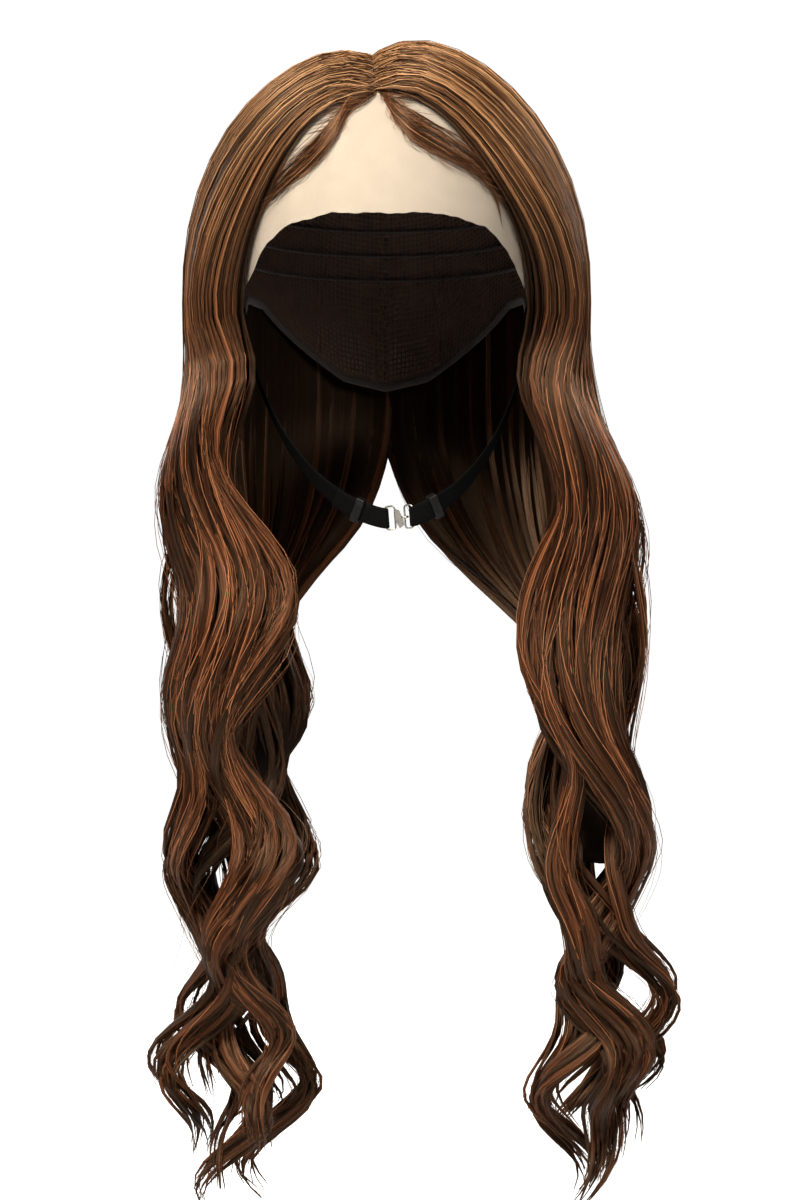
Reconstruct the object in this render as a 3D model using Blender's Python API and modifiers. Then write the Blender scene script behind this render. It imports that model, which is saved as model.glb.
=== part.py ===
"""A lace front wig with a middle parting and long waved hair, held in the form it has on a head.

The origin is on the inside of the cap at the crown, where the wig sits on a head. +Z is up, the face
opening looks along -Y, and left and right are as seen by someone who faces the wig. Sizes are metres.
"""

import math

import bmesh
import bpy
import numpy as np
from mathutils import Matrix, Vector

# Head form that the cap is cut for
HEAD_WIDTH = 0.152
HEAD_DEPTH = 0.194
CROWN_RISE = 0.102
NAPE_RISE = 0.120

# Cap and lace
CAP_WALL = 0.0012
LACE_WALL = 0.0010
SEAM_GAP = 0.0006
AZIMUTH_STEP = 7.5
LACE_END_AZIMUTH = 67.5
CAP_RINGS = 7
LACE_RINGS = 7

# Hair over the head
HAIR_CLEARANCE = 0.0013
PART_OFFSET = -0.006
PART_WIDTH = 0.0030
SIDE_VOLUME = 0.0255
BACK_VOLUME = 0.0180
RELEASE_POLAR = 100.0
HAIRLINE_DROOP = 0.20
RIDGE_COUNT = 9
RIDGE_HEIGHT = 0.0022

# Hanging hair
HAIR_DROP = 0.587
TRESS_REACH = 0.100
TRESS_WIDTH = 0.080
TRESS_DEPTH = 0.095
SWAY = 0.012
FRONT_ANGLE = 122.0
BACK_ANGLE = -150.0
LOCK_GIRTH = 0.022

# Chin strap and its hardware
STRAP_WIDTH = 0.0100
STRAP_THICK = 0.0009
STRAP_GAP = 0.0004
STRAP_DROP = 0.097
STRAP_FORWARD = 0.050
STRAP_SKEW = 0.004
STRAP_TAUTNESS = 1.35
TAB_AZIMUTH = 92.5
TAB_SPREAD = 6.0
TAB_INSET = 0.0013
LEFT_TURN_BACK = 0.029
RIGHT_TURN_BACK = 0.017
KEEPER_LENGTH = 0.0045
KEEPER_WALL = 0.0009
WIRE_RADIUS = 0.0005
HOOK_PLATE = 0.0009
HOOK_SPAN = 0.0135
HOOK_TURN = 2.5
FIT_GAP = 0.0003

# Lower edge of the cap, and where the lace is sewn to it in front: azimuth from the front, and the
# polar angles from the crown to the edge of the cap and to the free edge of the lace, all in degrees
EDGE_COLUMNS = ("azimuth", "cap_edge", "lace_edge")
EDGE_ROWS = (
    (0.0, 16.0, 84.0),
    (20.0, 23.0, 83.5),
    (40.0, 40.0, 86.0),
    (52.5, 57.0, 91.5),
    (60.0, 73.0, 96.0),
    (67.5, 97.0, 99.0),
    (75.0, 102.5, 102.5),
    (85.0, 107.0, 107.0),
    (92.5, 108.0, 108.0),
    (100.0, 104.0, 104.0),
    (107.5, 99.5, 99.5),
    (120.0, 100.0, 100.0),
    (140.0, 109.0, 109.0),
    (160.0, 118.0, 118.0),
    (180.0, 121.0, 121.0),
)

# Where hair leaves the parting and where it comes down: across runs from the face to the back of the
# head, root is the polar angle of the root (minus is behind the crown), side is the azimuth reached
ROOT_COLUMNS = ("across", "root", "side")
ROOT_ROWS = (
    (0.00, 43.0, 66.0),
    (0.15, 31.0, 73.0),
    (0.30, 14.0, 83.0),
    (0.45, -8.0, 95.0),
    (0.60, -32.0, 112.0),
    (0.80, -37.0, 145.0),
    (1.00, -42.0, 179.2),
)

# How far the front edge of the hair dips over the forehead on its way down, as shares of
# HAIRLINE_DROOP
DROOP_COLUMNS = ("fall", "left", "right")
DROOP_ROWS = (
    (0.00, 0.00, 0.00),
    (0.10, 0.15, 0.40),
    (0.18, 0.60, 0.90),
    (0.28, 1.00, 1.00),
    (0.40, 0.90, 0.75),
    (0.52, 0.45, 0.30),
    (0.65, 0.00, 0.05),
    (0.80, 0.00, 0.40),
    (0.90, 0.10, 0.65),
    (1.00, 0.30, 0.60),
)

# Height of the hair over the cap from the parting down, as shares of SIDE_VOLUME
LIFT_COLUMNS = ("fall", "left", "right")
LIFT_ROWS = (
    (0.00, 0.08, 0.08),
    (0.05, 0.15, 0.21),
    (0.12, 0.28, 0.36),
    (0.34, 0.46, 0.51),
    (0.50, 0.63, 0.63),
    (0.65, 0.75, 0.77),
    (0.86, 0.90, 0.96),
    (1.00, 1.00, 1.06),
)

# Sections of the two tresses: drop is a share of HAIR_DROP, the reaches of TRESS_REACH, the widths of
# TRESS_WIDTH, rear and thick of TRESS_DEPTH, and sway of SWAY
TRESS_COLUMNS = ("drop", "left_reach", "left_width", "right_reach", "right_width", "rear", "thick", "sway")
TRESS_ROWS = (
    (0.220, 0.78, 0.66, 0.82, 0.74, -0.05, 1.00, 0.00),
    (0.269, 0.78, 0.76, 0.84, 0.82, -0.05, 1.00, 0.60),
    (0.348, 0.76, 0.88, 0.88, 0.92, -0.04, 1.00, 0.66),
    (0.437, 0.73, 0.88, 0.90, 0.88, -0.08, 0.95, 0.75),
    (0.506, 0.70, 0.82, 0.94, 0.74, -0.09, 0.90, 0.90),
    (0.585, 0.70, 0.77, 0.95, 0.58, -0.10, 0.84, 0.95),
    (0.684, 0.71, 0.60, 1.07, 0.52, -0.12, 0.74, 0.95),
    (0.753, 0.70, 0.60, 1.03, 0.50, -0.14, 0.66, 1.00),
    (0.852, 0.71, 0.62, 1.06, 0.52, -0.15, 0.58, 1.00),
    (1.040, 0.75, 0.50, 0.98, 0.42, -0.16, 0.42, 0.85),
)

# Levels where the waves of each tress cross its middle line, as shares of HAIR_DROP
LEFT_CROSSINGS = (0.223, 0.311, 0.419, 0.523, 0.647, 0.746, 0.854, 0.948, 1.041)
RIGHT_CROSSINGS = (0.223, 0.325, 0.445, 0.602, 0.750, 0.854, 0.948, 1.041)

# Loose locks at the ends: side, angle round the tress from its outer side, distance out, the drops
# where the lock starts and ends, girth as a share of LOCK_GIRTH, and wave layer (1 front, -1 back)
LOCK_COLUMNS = ("side", "angle", "out", "start", "end", "girth", "layer")
LOCK_ROWS = (
    (-1, 60.0, 0.42, 0.66, 1.000, 1.00, 1.0),
    (-1, 15.0, 0.62, 0.64, 0.950, 0.80, -1.0),
    (-1, 150.0, 0.60, 0.66, 0.965, 0.86, -1.0),
    (-1, -70.0, 0.50, 0.66, 0.930, 0.90, 1.0),
    (-1, -150.0, 0.45, 0.66, 0.985, 0.70, 1.0),
    (1, 70.0, 0.40, 0.66, 1.000, 0.94, 1.0),
    (1, 10.0, 0.55, 0.64, 0.945, 0.80, -1.0),
    (1, 165.0, 0.60, 0.66, 0.960, 0.74, 1.0),
    (1, -75.0, 0.50, 0.66, 0.930, 0.84, -1.0),
    (1, -140.0, 0.35, 0.66, 0.980, 0.66, -1.0),
)

# Colours, roughness and metallic value of each material
FINISHES = {
    "hair": ((0.115, 0.036, 0.014), 0.38, 0.0),
    "lace": ((0.70, 0.58, 0.44), 0.80, 0.0),
    "cap": ((0.045, 0.022, 0.014), 0.85, 0.0),
    "strap": ((0.012, 0.012, 0.013), 0.80, 0.0),
    "keeper": ((0.015, 0.015, 0.016), 0.45, 0.0),
    "steel": ((0.62, 0.61, 0.58), 0.28, 1.0),
}


def column(columns, rows, name, where):
    """Value of a table's column, read between its rows at a place along the first column."""
    index = columns.index(name)
    return np.interp(where, [row[0] for row in rows], [row[index] for row in rows])


def smooth_step(value):
    """Eases from 0 to 1 as value goes from 0 to 1."""
    share = np.clip(value, 0.0, 1.0)
    return share * share * (3.0 - 2.0 * share)


def new_collection(name):
    made = bpy.data.collections.new(name)
    bpy.context.scene.collection.children.link(made)
    return made


def make_material(name):
    colour, roughness, metallic = FINISHES[name]
    made = bpy.data.materials.new(name)
    made.use_nodes = True
    shader = made.node_tree.nodes["Principled BSDF"]
    shader.inputs["Base Color"].default_value = (*colour, 1.0)
    shader.inputs["Roughness"].default_value = roughness
    shader.inputs["Metallic"].default_value = metallic
    return made


def mesh_object(name, points, faces, material, collection):
    """Object from a list of points and faces, with its faces turned outwards and shaded smooth."""
    mesh = bpy.data.meshes.new(name)
    mesh.from_pydata([tuple(map(float, point)) for point in points], [], faces)
    mesh.materials.append(bpy.data.materials[material])
    body = bmesh.new()
    body.from_mesh(mesh)
    bmesh.ops.recalc_face_normals(body, faces=body.faces)
    body.to_mesh(mesh)
    body.free()
    mesh.shade_smooth()
    made = bpy.data.objects.new(name, mesh)
    collection.objects.link(made)
    return made


def add_wall(target, thickness, offset):
    """Gives an open surface its wall: offset 1 adds it outwards and 0 puts it on both sides."""
    wall = target.modifiers.new("Wall", "SOLIDIFY")
    wall.thickness = thickness
    wall.offset = offset
    wall.use_even_offset = True


def curve_solid(name, points, radii, closed, material, collection, sides_level=1):
    """Closed mesh of a round rod along points, made as a bevelled curve and welded at its caps."""
    curve = bpy.data.curves.new(name + "_path", "CURVE")
    curve.dimensions = "3D"
    curve.bevel_depth = 1.0
    curve.bevel_resolution = sides_level
    curve.use_fill_caps = True
    spline = curve.splines.new("POLY")
    spline.points.add(len(points) - 1)
    for node, place, radius in zip(spline.points, points, radii):
        node.co = (*map(float, place), 1.0)
        node.radius = radius
    spline.use_cyclic_u = closed
    path = bpy.data.objects.new(name + "_path", curve)
    collection.objects.link(path)
    graph = bpy.context.evaluated_depsgraph_get()
    mesh = bpy.data.meshes.new_from_object(path.evaluated_get(graph))
    bpy.data.objects.remove(path)
    body = bmesh.new()
    body.from_mesh(mesh)
    bmesh.ops.remove_doubles(body, verts=body.verts, dist=1e-6)
    bmesh.ops.recalc_face_normals(body, faces=body.faces)
    body.to_mesh(mesh)
    body.free()
    mesh.name = name
    mesh.materials.clear()
    mesh.materials.append(bpy.data.materials[material])
    mesh.shade_smooth()
    made = bpy.data.objects.new(name, mesh)
    collection.objects.link(made)
    return made


def hide_helper(helper):
    helper.hide_render = True
    helper.display_type = "WIRE"


def head_surface(direction, lift):
    """Point of the head form in a unit direction from its middle, lifted off it by lift.

    The form is two half ellipsoids that meet at the widest level: the crown half above and the
    deeper nape half below.
    """
    x, y, z = direction
    rise = CROWN_RISE if z > 0.0 else NAPE_RISE
    return np.array([
        (HEAD_WIDTH / 2 + lift) * x,
        (HEAD_DEPTH / 2 + lift) * y,
        (rise + lift) * z - CROWN_RISE,
    ])


def polar_direction(azimuth, polar):
    """Unit direction at an azimuth from the front and a polar angle from the crown, in degrees."""
    turn, tilt = math.radians(azimuth), math.radians(polar)
    return np.array([math.sin(turn) * math.sin(tilt), -math.cos(turn) * math.sin(tilt), math.cos(tilt)])


def edge(name, azimuth):
    return float(column(EDGE_COLUMNS, EDGE_ROWS, name, abs(azimuth)))


def build_cap(collection):
    """Crown net of the cap: an open dome from the crown to its edge, with its wall outside."""
    azimuths = np.arange(-180.0, 180.0, AZIMUTH_STEP)
    points = [head_surface(np.array([0.0, 0.0, 1.0]), 0.0)]
    for ring in range(1, CAP_RINGS + 1):
        for azimuth in azimuths:
            polar = edge("cap_edge", azimuth) * ring / CAP_RINGS
            points.append(head_surface(polar_direction(azimuth, polar), 0.0))
    count = len(azimuths)
    faces = [(0, 1 + i, 1 + (i + 1) % count) for i in range(count)]
    for ring in range(CAP_RINGS - 1):
        start = 1 + ring * count
        for i in range(count):
            after = (i + 1) % count
            faces.append((start + i, start + count + i, start + count + after, start + after))
    cap = mesh_object("wig_cap", points, faces, "cap", collection)
    add_wall(cap, CAP_WALL, 1.0)
    return cap


def build_lace(collection):
    """Lace front: the net from the cap's front seam, down over the forehead to its free edge."""
    azimuths = np.arange(-LACE_END_AZIMUTH, LACE_END_AZIMUTH + AZIMUTH_STEP / 2, AZIMUTH_STEP)
    seam_angle = math.degrees(SEAM_GAP / (CROWN_RISE * 0.5))
    points = []
    for ring in range(LACE_RINGS + 1):
        for azimuth in azimuths:
            top = edge("cap_edge", azimuth) + seam_angle
            polar = top + (edge("lace_edge", azimuth) - top) * ring / LACE_RINGS
            turned = azimuth * (1.0 - SEAM_GAP / HEAD_WIDTH)
            points.append(head_surface(polar_direction(turned, polar), 0.0))
    count = len(azimuths)
    faces = []
    for ring in range(LACE_RINGS):
        for i in range(count - 1):
            start = ring * count + i
            faces.append((start, start + count, start + count + 1, start + 1))
    lace = mesh_object("lace_front", points, faces, "lace", collection)
    add_wall(lace, LACE_WALL, 1.0)
    return lace


def hair_over_head(side, across, fall, lift):
    """Point of the hair between the parting (fall 0) and the release level (fall 1).

    The strand takes the shortest way over the head form, from its root to its place at the side.
    """
    root = column(ROOT_COLUMNS, ROOT_ROWS, "root", across)
    azimuth = column(ROOT_COLUMNS, ROOT_ROWS, "side", across)
    start = polar_direction(0.0, root)
    start[0] = (PART_OFFSET + side * PART_WIDTH / 2) / (HEAD_WIDTH / 2)
    start /= np.linalg.norm(start)
    end = polar_direction(side * azimuth, RELEASE_POLAR)
    arc = math.acos(float(np.dot(start, end)))
    direction = (math.sin((1 - fall) * arc) * start + math.sin(fall * arc) * end) / math.sin(arc)
    name = "left" if side < 0 else "right"
    droop = HAIRLINE_DROOP * float(column(DROOP_COLUMNS, DROOP_ROWS, name, fall))
    droop *= float(smooth_step(1.0 - across / 0.25))
    direction += np.cross(end, start) * side * droop
    return head_surface(direction / np.linalg.norm(direction), lift)


def hair_height(side, across, fall):
    """Height of the hair over the cap: fuller down the sides, thinner at the face edge and behind."""
    name = "left" if side < 0 else "right"
    volume = SIDE_VOLUME + (BACK_VOLUME - SIDE_VOLUME) * smooth_step((across - 0.5) / 0.5)
    share = float(column(LIFT_COLUMNS, LIFT_ROWS, name, fall))
    rounded = math.sqrt(1.0 - (1.0 - min(1.0, (across + 0.004) / 0.14)) ** 2)
    return volume * share * rounded


def tress(side, name, drop):
    """A column of the tress table at a drop share. Reach and width have one column for each side."""
    if name in ("reach", "width"):
        name = ("left_" if side < 0 else "right_") + name
    return float(column(TRESS_COLUMNS, TRESS_ROWS, name, drop))


def wave_phase(side, drop):
    """Phase of the waves: it grows by half a turn from one crossing level to the next."""
    crossings = LEFT_CROSSINGS if side < 0 else RIGHT_CROSSINGS
    return math.pi * float(np.interp(drop, crossings, range(len(crossings))))


def wave_shift(side, drop, layer):
    """Sideways and rearward shift of a wave. Layer 1 is the front hair, and -1 swings against it."""
    size = SWAY * tress(side, "sway", drop)
    phase = wave_phase(side, drop)
    return np.array([-side * layer * size * math.sin(phase), 0.4 * layer * size * math.cos(phase), 0.0])


def tress_place(side, angle, out, drop):
    """Point in a straight tress: an angle from its outer side towards the front, and a distance out."""
    turn = math.radians(angle)
    x = side * (TRESS_REACH * tress(side, "reach", drop)
                + TRESS_WIDTH / 2 * tress(side, "width", drop) * out * math.cos(turn))
    y = TRESS_DEPTH * (tress(side, "rear", drop) - tress(side, "thick", drop) / 2 * out * math.sin(turn))
    return np.array([x, y, -HAIR_DROP * drop])


def gather_share(across, drop):
    """How far hair has gone, from 0 to 1, from where the head lets it go to its place in the tress."""
    behind = float(smooth_step((across - 0.3) / 0.4))
    return float(smooth_step((drop - 0.234 - 0.064 * behind) / (0.19 + 0.07 * behind)))


def hair_hanging(side, across, drop, lift, out, ending):
    """Point of the outer face below the release level, where the hair gathers into the tress.

    Towards the foot of the mass, ending draws its section and the swing of its layers together. At
    the back the waves start only where the hair has left the nape.
    """
    released = hair_over_head(side, across, 1.0, lift)
    gathered = tress_place(side, FRONT_ANGLE + (BACK_ANGLE - FRONT_ANGLE) * across, out * ending, drop)
    share = gather_share(across, drop)
    layer = ending * (1.0 - 2.0 * float(smooth_step((across - 0.38) / 0.20)))
    loose = share + (1.0 - share) * float(smooth_step((0.45 - across) / 0.3))
    place = released + (gathered - released) * share + wave_shift(side, drop, layer) * loose
    place[2] = -HAIR_DROP * drop
    return place


def hair_inside(side, across, drop, lift, ending):
    """Point of the inner face below the release level: a groove facing the neck that closes lower down."""
    released = hair_over_head(side, across, 1.0, lift)
    front = tress_place(side, FRONT_ANGLE, ending, drop) + wave_shift(side, drop, ending)
    back = tress_place(side, BACK_ANGLE, ending, drop) - wave_shift(side, drop, ending)
    middle = tress_place(side, 0.0, 0.0, drop)
    chord = front + (back - front) * (0.05 + 0.90 * across)
    depth = 1.0 - 0.85 * float(smooth_step((drop - 0.486) / 0.14))
    groove = chord + (middle - chord) * depth * (0.20 + 0.60 * math.sin(math.pi * across))
    loose = float(smooth_step((0.45 - across) / 0.3))
    share = gather_share(across, drop)
    swung = released + wave_shift(side, drop, ending) * loose
    place = swung + (groove - swung) * share
    place[2] = -HAIR_DROP * drop
    return place


def build_hair(side, name, collection, helpers):
    """One half of the hair, from the parting down to the ends, with its loose locks joined to it."""
    outer_places = np.linspace(0.0, 1.0, 3 * RIDGE_COUNT + 1)
    inner_places = np.linspace(1.0, 0.0, 14)
    inside = CAP_WALL + HAIR_CLEARANCE
    points = []
    for fall in np.linspace(0.0, 1.0, 11):
        for across in outer_places:
            ridge = RIDGE_HEIGHT * fall * math.cos(2 * math.pi * RIDGE_COUNT * across)
            lift = inside + hair_height(side, across, fall) + ridge
            points.append(hair_over_head(side, across, fall, lift))
        points += [hair_over_head(side, across, fall, inside) for across in inner_places]
    for drop in np.linspace(0.245, 0.763, 28):
        ending = 1.0 - 0.55 * float(smooth_step((drop - 0.684) / 0.08))
        for across in outer_places:
            ridge = RIDGE_HEIGHT * math.cos(2 * math.pi * RIDGE_COUNT * across)
            lift = inside + hair_height(side, across, 1.0) + ridge
            points.append(hair_hanging(side, across, drop, lift, 1.0 + 2 * ridge / TRESS_WIDTH, ending))
        points += [hair_inside(side, across, drop, inside, ending) for across in inner_places]
    count = len(outer_places) + len(inner_places)
    levels = len(points) // count
    faces = [tuple(range(count)), tuple(range((levels - 1) * count, levels * count))]
    for level in range(levels - 1):
        for i in range(count):
            after = (i + 1) % count
            start = level * count
            faces.append((start + i, start + after, start + count + after, start + count + i))
    mass = mesh_object(name, points, faces, "hair", collection)
    locks = bpy.data.collections.new(name + "_locks")
    helpers.children.link(locks)
    for row in LOCK_ROWS:
        if row[0] == side:
            build_lock(name, dict(zip(LOCK_COLUMNS, row)), locks)
    joined = mass.modifiers.new("Locks", "BOOLEAN")
    joined.operation = "UNION"
    joined.operand_type = "COLLECTION"
    joined.collection = locks
    joined.solver = "EXACT"
    return mass


def build_lock(name, lock, collection):
    """A loose lock: a tapered rod that follows the waves of its layer from inside the mass."""
    drops = np.linspace(lock["start"], lock["end"], 15)
    points, radii = [], []
    for drop in drops:
        share = (drop - lock["start"]) / (lock["end"] - lock["start"])
        place = tress_place(lock["side"], lock["angle"], lock["out"], drop)
        points.append(place + wave_shift(lock["side"], drop, lock["layer"] * 1.15))
        belly = 0.55 + 0.45 * math.sin(math.pi * min(1.0, share * 1.3 + 0.15))
        ending = 1.0 - 0.82 * float(smooth_step((share - 0.55) / 0.45))
        radii.append(LOCK_GIRTH / 2 * lock["girth"] * belly * ending)
    rod = curve_solid(name + "_lock", points, radii, False, "hair", collection)
    hide_helper(rod)


def strap_line(turn):
    """Middle line of the chin strap, from one ear tab (turn -90) down and forward to the other (90)."""
    angle = math.radians(turn)
    top = head_surface(polar_direction(TAB_AZIMUTH, edge("cap_edge", TAB_AZIMUTH)), -FIT_GAP)
    x = (top[0] - STRAP_THICK / 2) * math.sin(angle) + STRAP_SKEW * math.cos(angle)
    gone = max(0.0, math.cos(angle)) ** STRAP_TAUTNESS
    return np.array([x, top[1] - STRAP_FORWARD * gone, top[2] - STRAP_DROP * gone])


def strap_frame(turn):
    """Directions of the strap at a place: along it, across its width, and out of its outer face."""
    along = strap_line(turn + 0.5) - strap_line(turn - 0.5)
    along /= np.linalg.norm(along)
    flat = np.array([0.0, -STRAP_DROP, STRAP_FORWARD]) / math.hypot(STRAP_DROP, STRAP_FORWARD)
    upright = 0.85 * float(smooth_step(1.0 - abs(turn) / 70.0))
    wide = flat * (1.0 - upright) + np.array([0.0, 0.0, 1.0]) * upright
    wide -= along * np.dot(wide, along)
    wide /= np.linalg.norm(wide)
    return along, wide, np.cross(along, wide)


def strap_arc(first, last, steps):
    """Turns from first to last, and the length along the strap's line from first to each of them."""
    turns = np.linspace(first, last, steps)
    places = np.array([strap_line(turn) for turn in turns])
    lengths = np.concatenate([[0.0], np.cumsum(np.linalg.norm(np.diff(places, axis=0), axis=1))])
    return turns, lengths


def strap_end(side):
    """Middle, width, and outward and inward directions of the bar that a strap's end goes round."""
    matrix = hardware_matrix(HOOK_TURN, HOOK_SPAN / 2)
    place = np.array(matrix @ Vector((side * HOOK_SPAN / 2, 0.0, 0.0)))
    towards, wide, outward = (np.array(matrix.col[i][:3]) for i in range(3))
    return place, wide, outward, -side * towards


def build_strap(name, side, turn_back, collection):
    """Half of the chin strap: from its ear tab to the hardware, round the bar and back on itself."""
    bar_place, bar_wide, bar_outward, towards = strap_end(side)
    near = turn_at(HOOK_TURN, side * HOOK_SPAN / 2)
    turns, lengths = strap_arc(side * 90.0, near, 26)
    shift = bar_place - strap_line(near)
    loop = WIRE_RADIUS + FIT_GAP + STRAP_THICK / 2
    rest = (STRAP_THICK + STRAP_GAP) / 2

    def layer(turn, distance, height):
        """Middle and width of one layer at a distance from the bar, height off the strap's line."""
        _, wide, out = strap_frame(turn)
        close = float(smooth_step(1.0 - distance / 0.010))
        outward = out * side_sign(out, turn) * (1.0 - close) + bar_outward * close
        wide = wide * np.sign(np.dot(wide, bar_wide)) * (1.0 - close) + bar_wide * close
        spread = rest + (loop - rest) * float(smooth_step(1.0 - distance / 0.006))
        place = strap_line(turn) + shift * close + outward / np.linalg.norm(outward) * spread * height
        return place, wide / np.linalg.norm(wide)

    tab = polar_direction(side * TAB_AZIMUTH, edge("cap_edge", TAB_AZIMUTH) - TAB_SPREAD)
    rows = [(head_surface(tab, -TAB_INSET - STRAP_THICK / 2), layer(side * 90.0, 1.0, 0.0)[1])]
    for turn, length in zip(turns, lengths):
        distance = lengths[-1] - length
        doubled = float(smooth_step((turn_back + 0.012 - distance) / 0.012))
        rows.append(layer(turn, distance, -doubled))
    for step in range(1, 6):
        angle = math.pi * step / 6
        offset = towards * math.sin(angle) - bar_outward * math.cos(angle)
        rows.append((bar_place + offset * loop, bar_wide))
    for turn, length in list(zip(turns, lengths))[::-1]:
        if lengths[-1] - length <= turn_back:
            rows.append(layer(turn, lengths[-1] - length, 1.0))
    points = []
    for place, wide in rows:
        points.append(place - wide * STRAP_WIDTH / 2)
        points.append(place + wide * STRAP_WIDTH / 2)
    faces = [(2 * i, 2 * i + 1, 2 * i + 3, 2 * i + 2) for i in range(len(rows) - 1)]
    strap = mesh_object(name, points, faces, "strap", collection)
    add_wall(strap, STRAP_THICK, 0.0)
    return strap


def side_sign(out, turn):
    """1 or -1, so that out times it points away from the inside of the strap's loop."""
    centre = (strap_line(-90.0) + strap_line(90.0)) / 2
    return 1.0 if np.dot(out, strap_line(turn) - centre) > 0 else -1.0


def turn_at(start, distance):
    """Turn that lies a distance along the strap's line from the turn start."""
    step = 0.05 * (1 if distance > 0 else -1)
    turn, gone = start, 0.0
    while gone < abs(distance):
        gone += float(np.linalg.norm(strap_line(turn + step) - strap_line(turn)))
        turn += step
    return turn


def hardware_matrix(turn, reach=0.0):
    """Matrix that puts a shape drawn with X along the strap, Y across it and Z outwards in place.

    The shape is a straight one, so it is set inwards until it meets the strap's line at both ends of
    its reach.
    """
    along, wide, out = strap_frame(turn)
    outward = out * side_sign(out, turn)
    wide = np.cross(outward, along)
    ends = (strap_line(turn_at(turn, -reach)) + strap_line(turn_at(turn, reach))) / 2
    place = strap_line(turn) + outward * np.dot(ends - strap_line(turn), outward)
    columns = [Vector(along), Vector(wide), Vector(outward), Vector(place)]
    return Matrix([[columns[c][r] for c in range(4)] for r in range(3)] + [[0.0, 0.0, 0.0, 1.0]])


def build_keeper(name, side, distance, collection, helpers):
    """Flat loop that holds the turned-back end of a strap against the strap."""
    near = turn_at(HOOK_TURN, side * HOOK_SPAN / 2)
    turn = turn_at(near, side * distance)
    hole_width = STRAP_WIDTH + 2 * FIT_GAP
    hole_depth = 2 * STRAP_THICK + STRAP_GAP + 3 * FIT_GAP
    outer = add_box(name, (KEEPER_LENGTH, hole_width + 2 * KEEPER_WALL, hole_depth + 2 * KEEPER_WALL),
                    "keeper", collection)
    hole = add_box(name + "_hole", (KEEPER_LENGTH * 2, hole_width, hole_depth), "keeper", helpers)
    hide_helper(hole)
    outer.matrix_world = hardware_matrix(turn)
    hole.matrix_world = hardware_matrix(turn)
    rounded = outer.modifiers.new("Rounded", "BEVEL")
    rounded.width = KEEPER_WALL * 0.4
    rounded.segments = 1
    cut = outer.modifiers.new("Hole", "BOOLEAN")
    cut.operation = "DIFFERENCE"
    cut.object = hole
    cut.solver = "EXACT"
    return outer


def add_box(name, size, material, collection):
    mesh = bpy.data.meshes.new(name)
    body = bmesh.new()
    bmesh.ops.create_cube(body, size=1.0, matrix=Matrix.Diagonal((*size, 1.0)))
    body.to_mesh(mesh)
    body.free()
    mesh.materials.append(bpy.data.materials[material])
    made = bpy.data.objects.new(name, mesh)
    collection.objects.link(made)
    return made


def wire_frame(name, left, right, half_width, corner, matrix, collection):
    """Closed wire frame with rounded corners, in the plane of the strap."""
    points = []
    for centre_x, centre_y, first in ((right - corner, half_width - corner, 0), (left + corner, half_width - corner, 90),
                                      (left + corner, -half_width + corner, 180), (right - corner, -half_width + corner, 270)):
        for step in range(4):
            angle = math.radians(first + 30 * step)
            local = Vector((centre_x + corner * math.cos(angle), centre_y + corner * math.sin(angle), 0.0))
            points.append(matrix @ local)
    return curve_solid(name, points, [WIRE_RADIUS] * len(points), True, "steel", collection)


def build_hardware(collection, helpers):
    """Steel hook on the left strap's end, and the ring on the right one that it hooks into."""
    matrix = hardware_matrix(HOOK_TURN, HOOK_SPAN / 2)
    half = HOOK_SPAN / 2
    half_width = STRAP_WIDTH / 2 + FIT_GAP + WIRE_RADIUS
    frame = wire_frame("strap_hook", -half, -half * 0.30, half_width, 0.0012, matrix, collection)
    ring = wire_frame("strap_ring", half * 0.42, half, half_width, 0.0012, matrix, collection)
    plate_outline = ((-half * 0.36, 0.0046), (half * 0.05, 0.0034), (half * 0.30, -0.0012),
                     (half * 0.34, -0.0040), (0.0, -0.0056), (-half * 0.22, -0.0030))
    outline = bpy.data.curves.new("hook_plate_outline", "CURVE")
    outline.dimensions = "2D"
    outline.fill_mode = "BOTH"
    outline.extrude = HOOK_PLATE / 2
    spline = outline.splines.new("POLY")
    spline.points.add(len(plate_outline) - 1)
    for node, place in zip(spline.points, plate_outline):
        node.co = (*place, 0.0, 1.0)
    spline.use_cyclic_u = True
    sketch = bpy.data.objects.new("hook_plate_outline", outline)
    collection.objects.link(sketch)
    graph = bpy.context.evaluated_depsgraph_get()
    mesh = bpy.data.meshes.new_from_object(sketch.evaluated_get(graph))
    bpy.data.objects.remove(sketch)
    body = bmesh.new()
    body.from_mesh(mesh)
    bmesh.ops.remove_doubles(body, verts=body.verts, dist=1e-6)
    bmesh.ops.recalc_face_normals(body, faces=body.faces)
    body.to_mesh(mesh)
    body.free()
    plate = bpy.data.objects.new("hook_plate", mesh)
    plate.matrix_world = matrix
    metal = bpy.data.collections.new("hook_metal")
    helpers.children.link(metal)
    metal.objects.link(plate)
    hide_helper(plate)
    bar = half * 0.42
    reach = 2 * WIRE_RADIUS + 2 * FIT_GAP
    tongue = [Vector((bar - reach * 2.4, 0.0, HOOK_PLATE * 0.1))]
    for step in range(9):
        angle = math.radians(200.0 - 250.0 * step / 8)
        tongue.append(Vector((bar + reach * math.cos(angle), 0.0, reach * math.sin(angle))))
    hook = curve_solid("hook_tongue", [matrix @ p for p in tongue], [WIRE_RADIUS] * len(tongue), False,
                       "steel", metal)
    hide_helper(hook)
    joined = frame.modifiers.new("Soldered", "BOOLEAN")
    joined.operation = "UNION"
    joined.operand_type = "COLLECTION"
    joined.collection = metal
    joined.solver = "EXACT"
    return frame, ring


def clear_scene():
    for old in list(bpy.data.objects):
        bpy.data.objects.remove(old)


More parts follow.
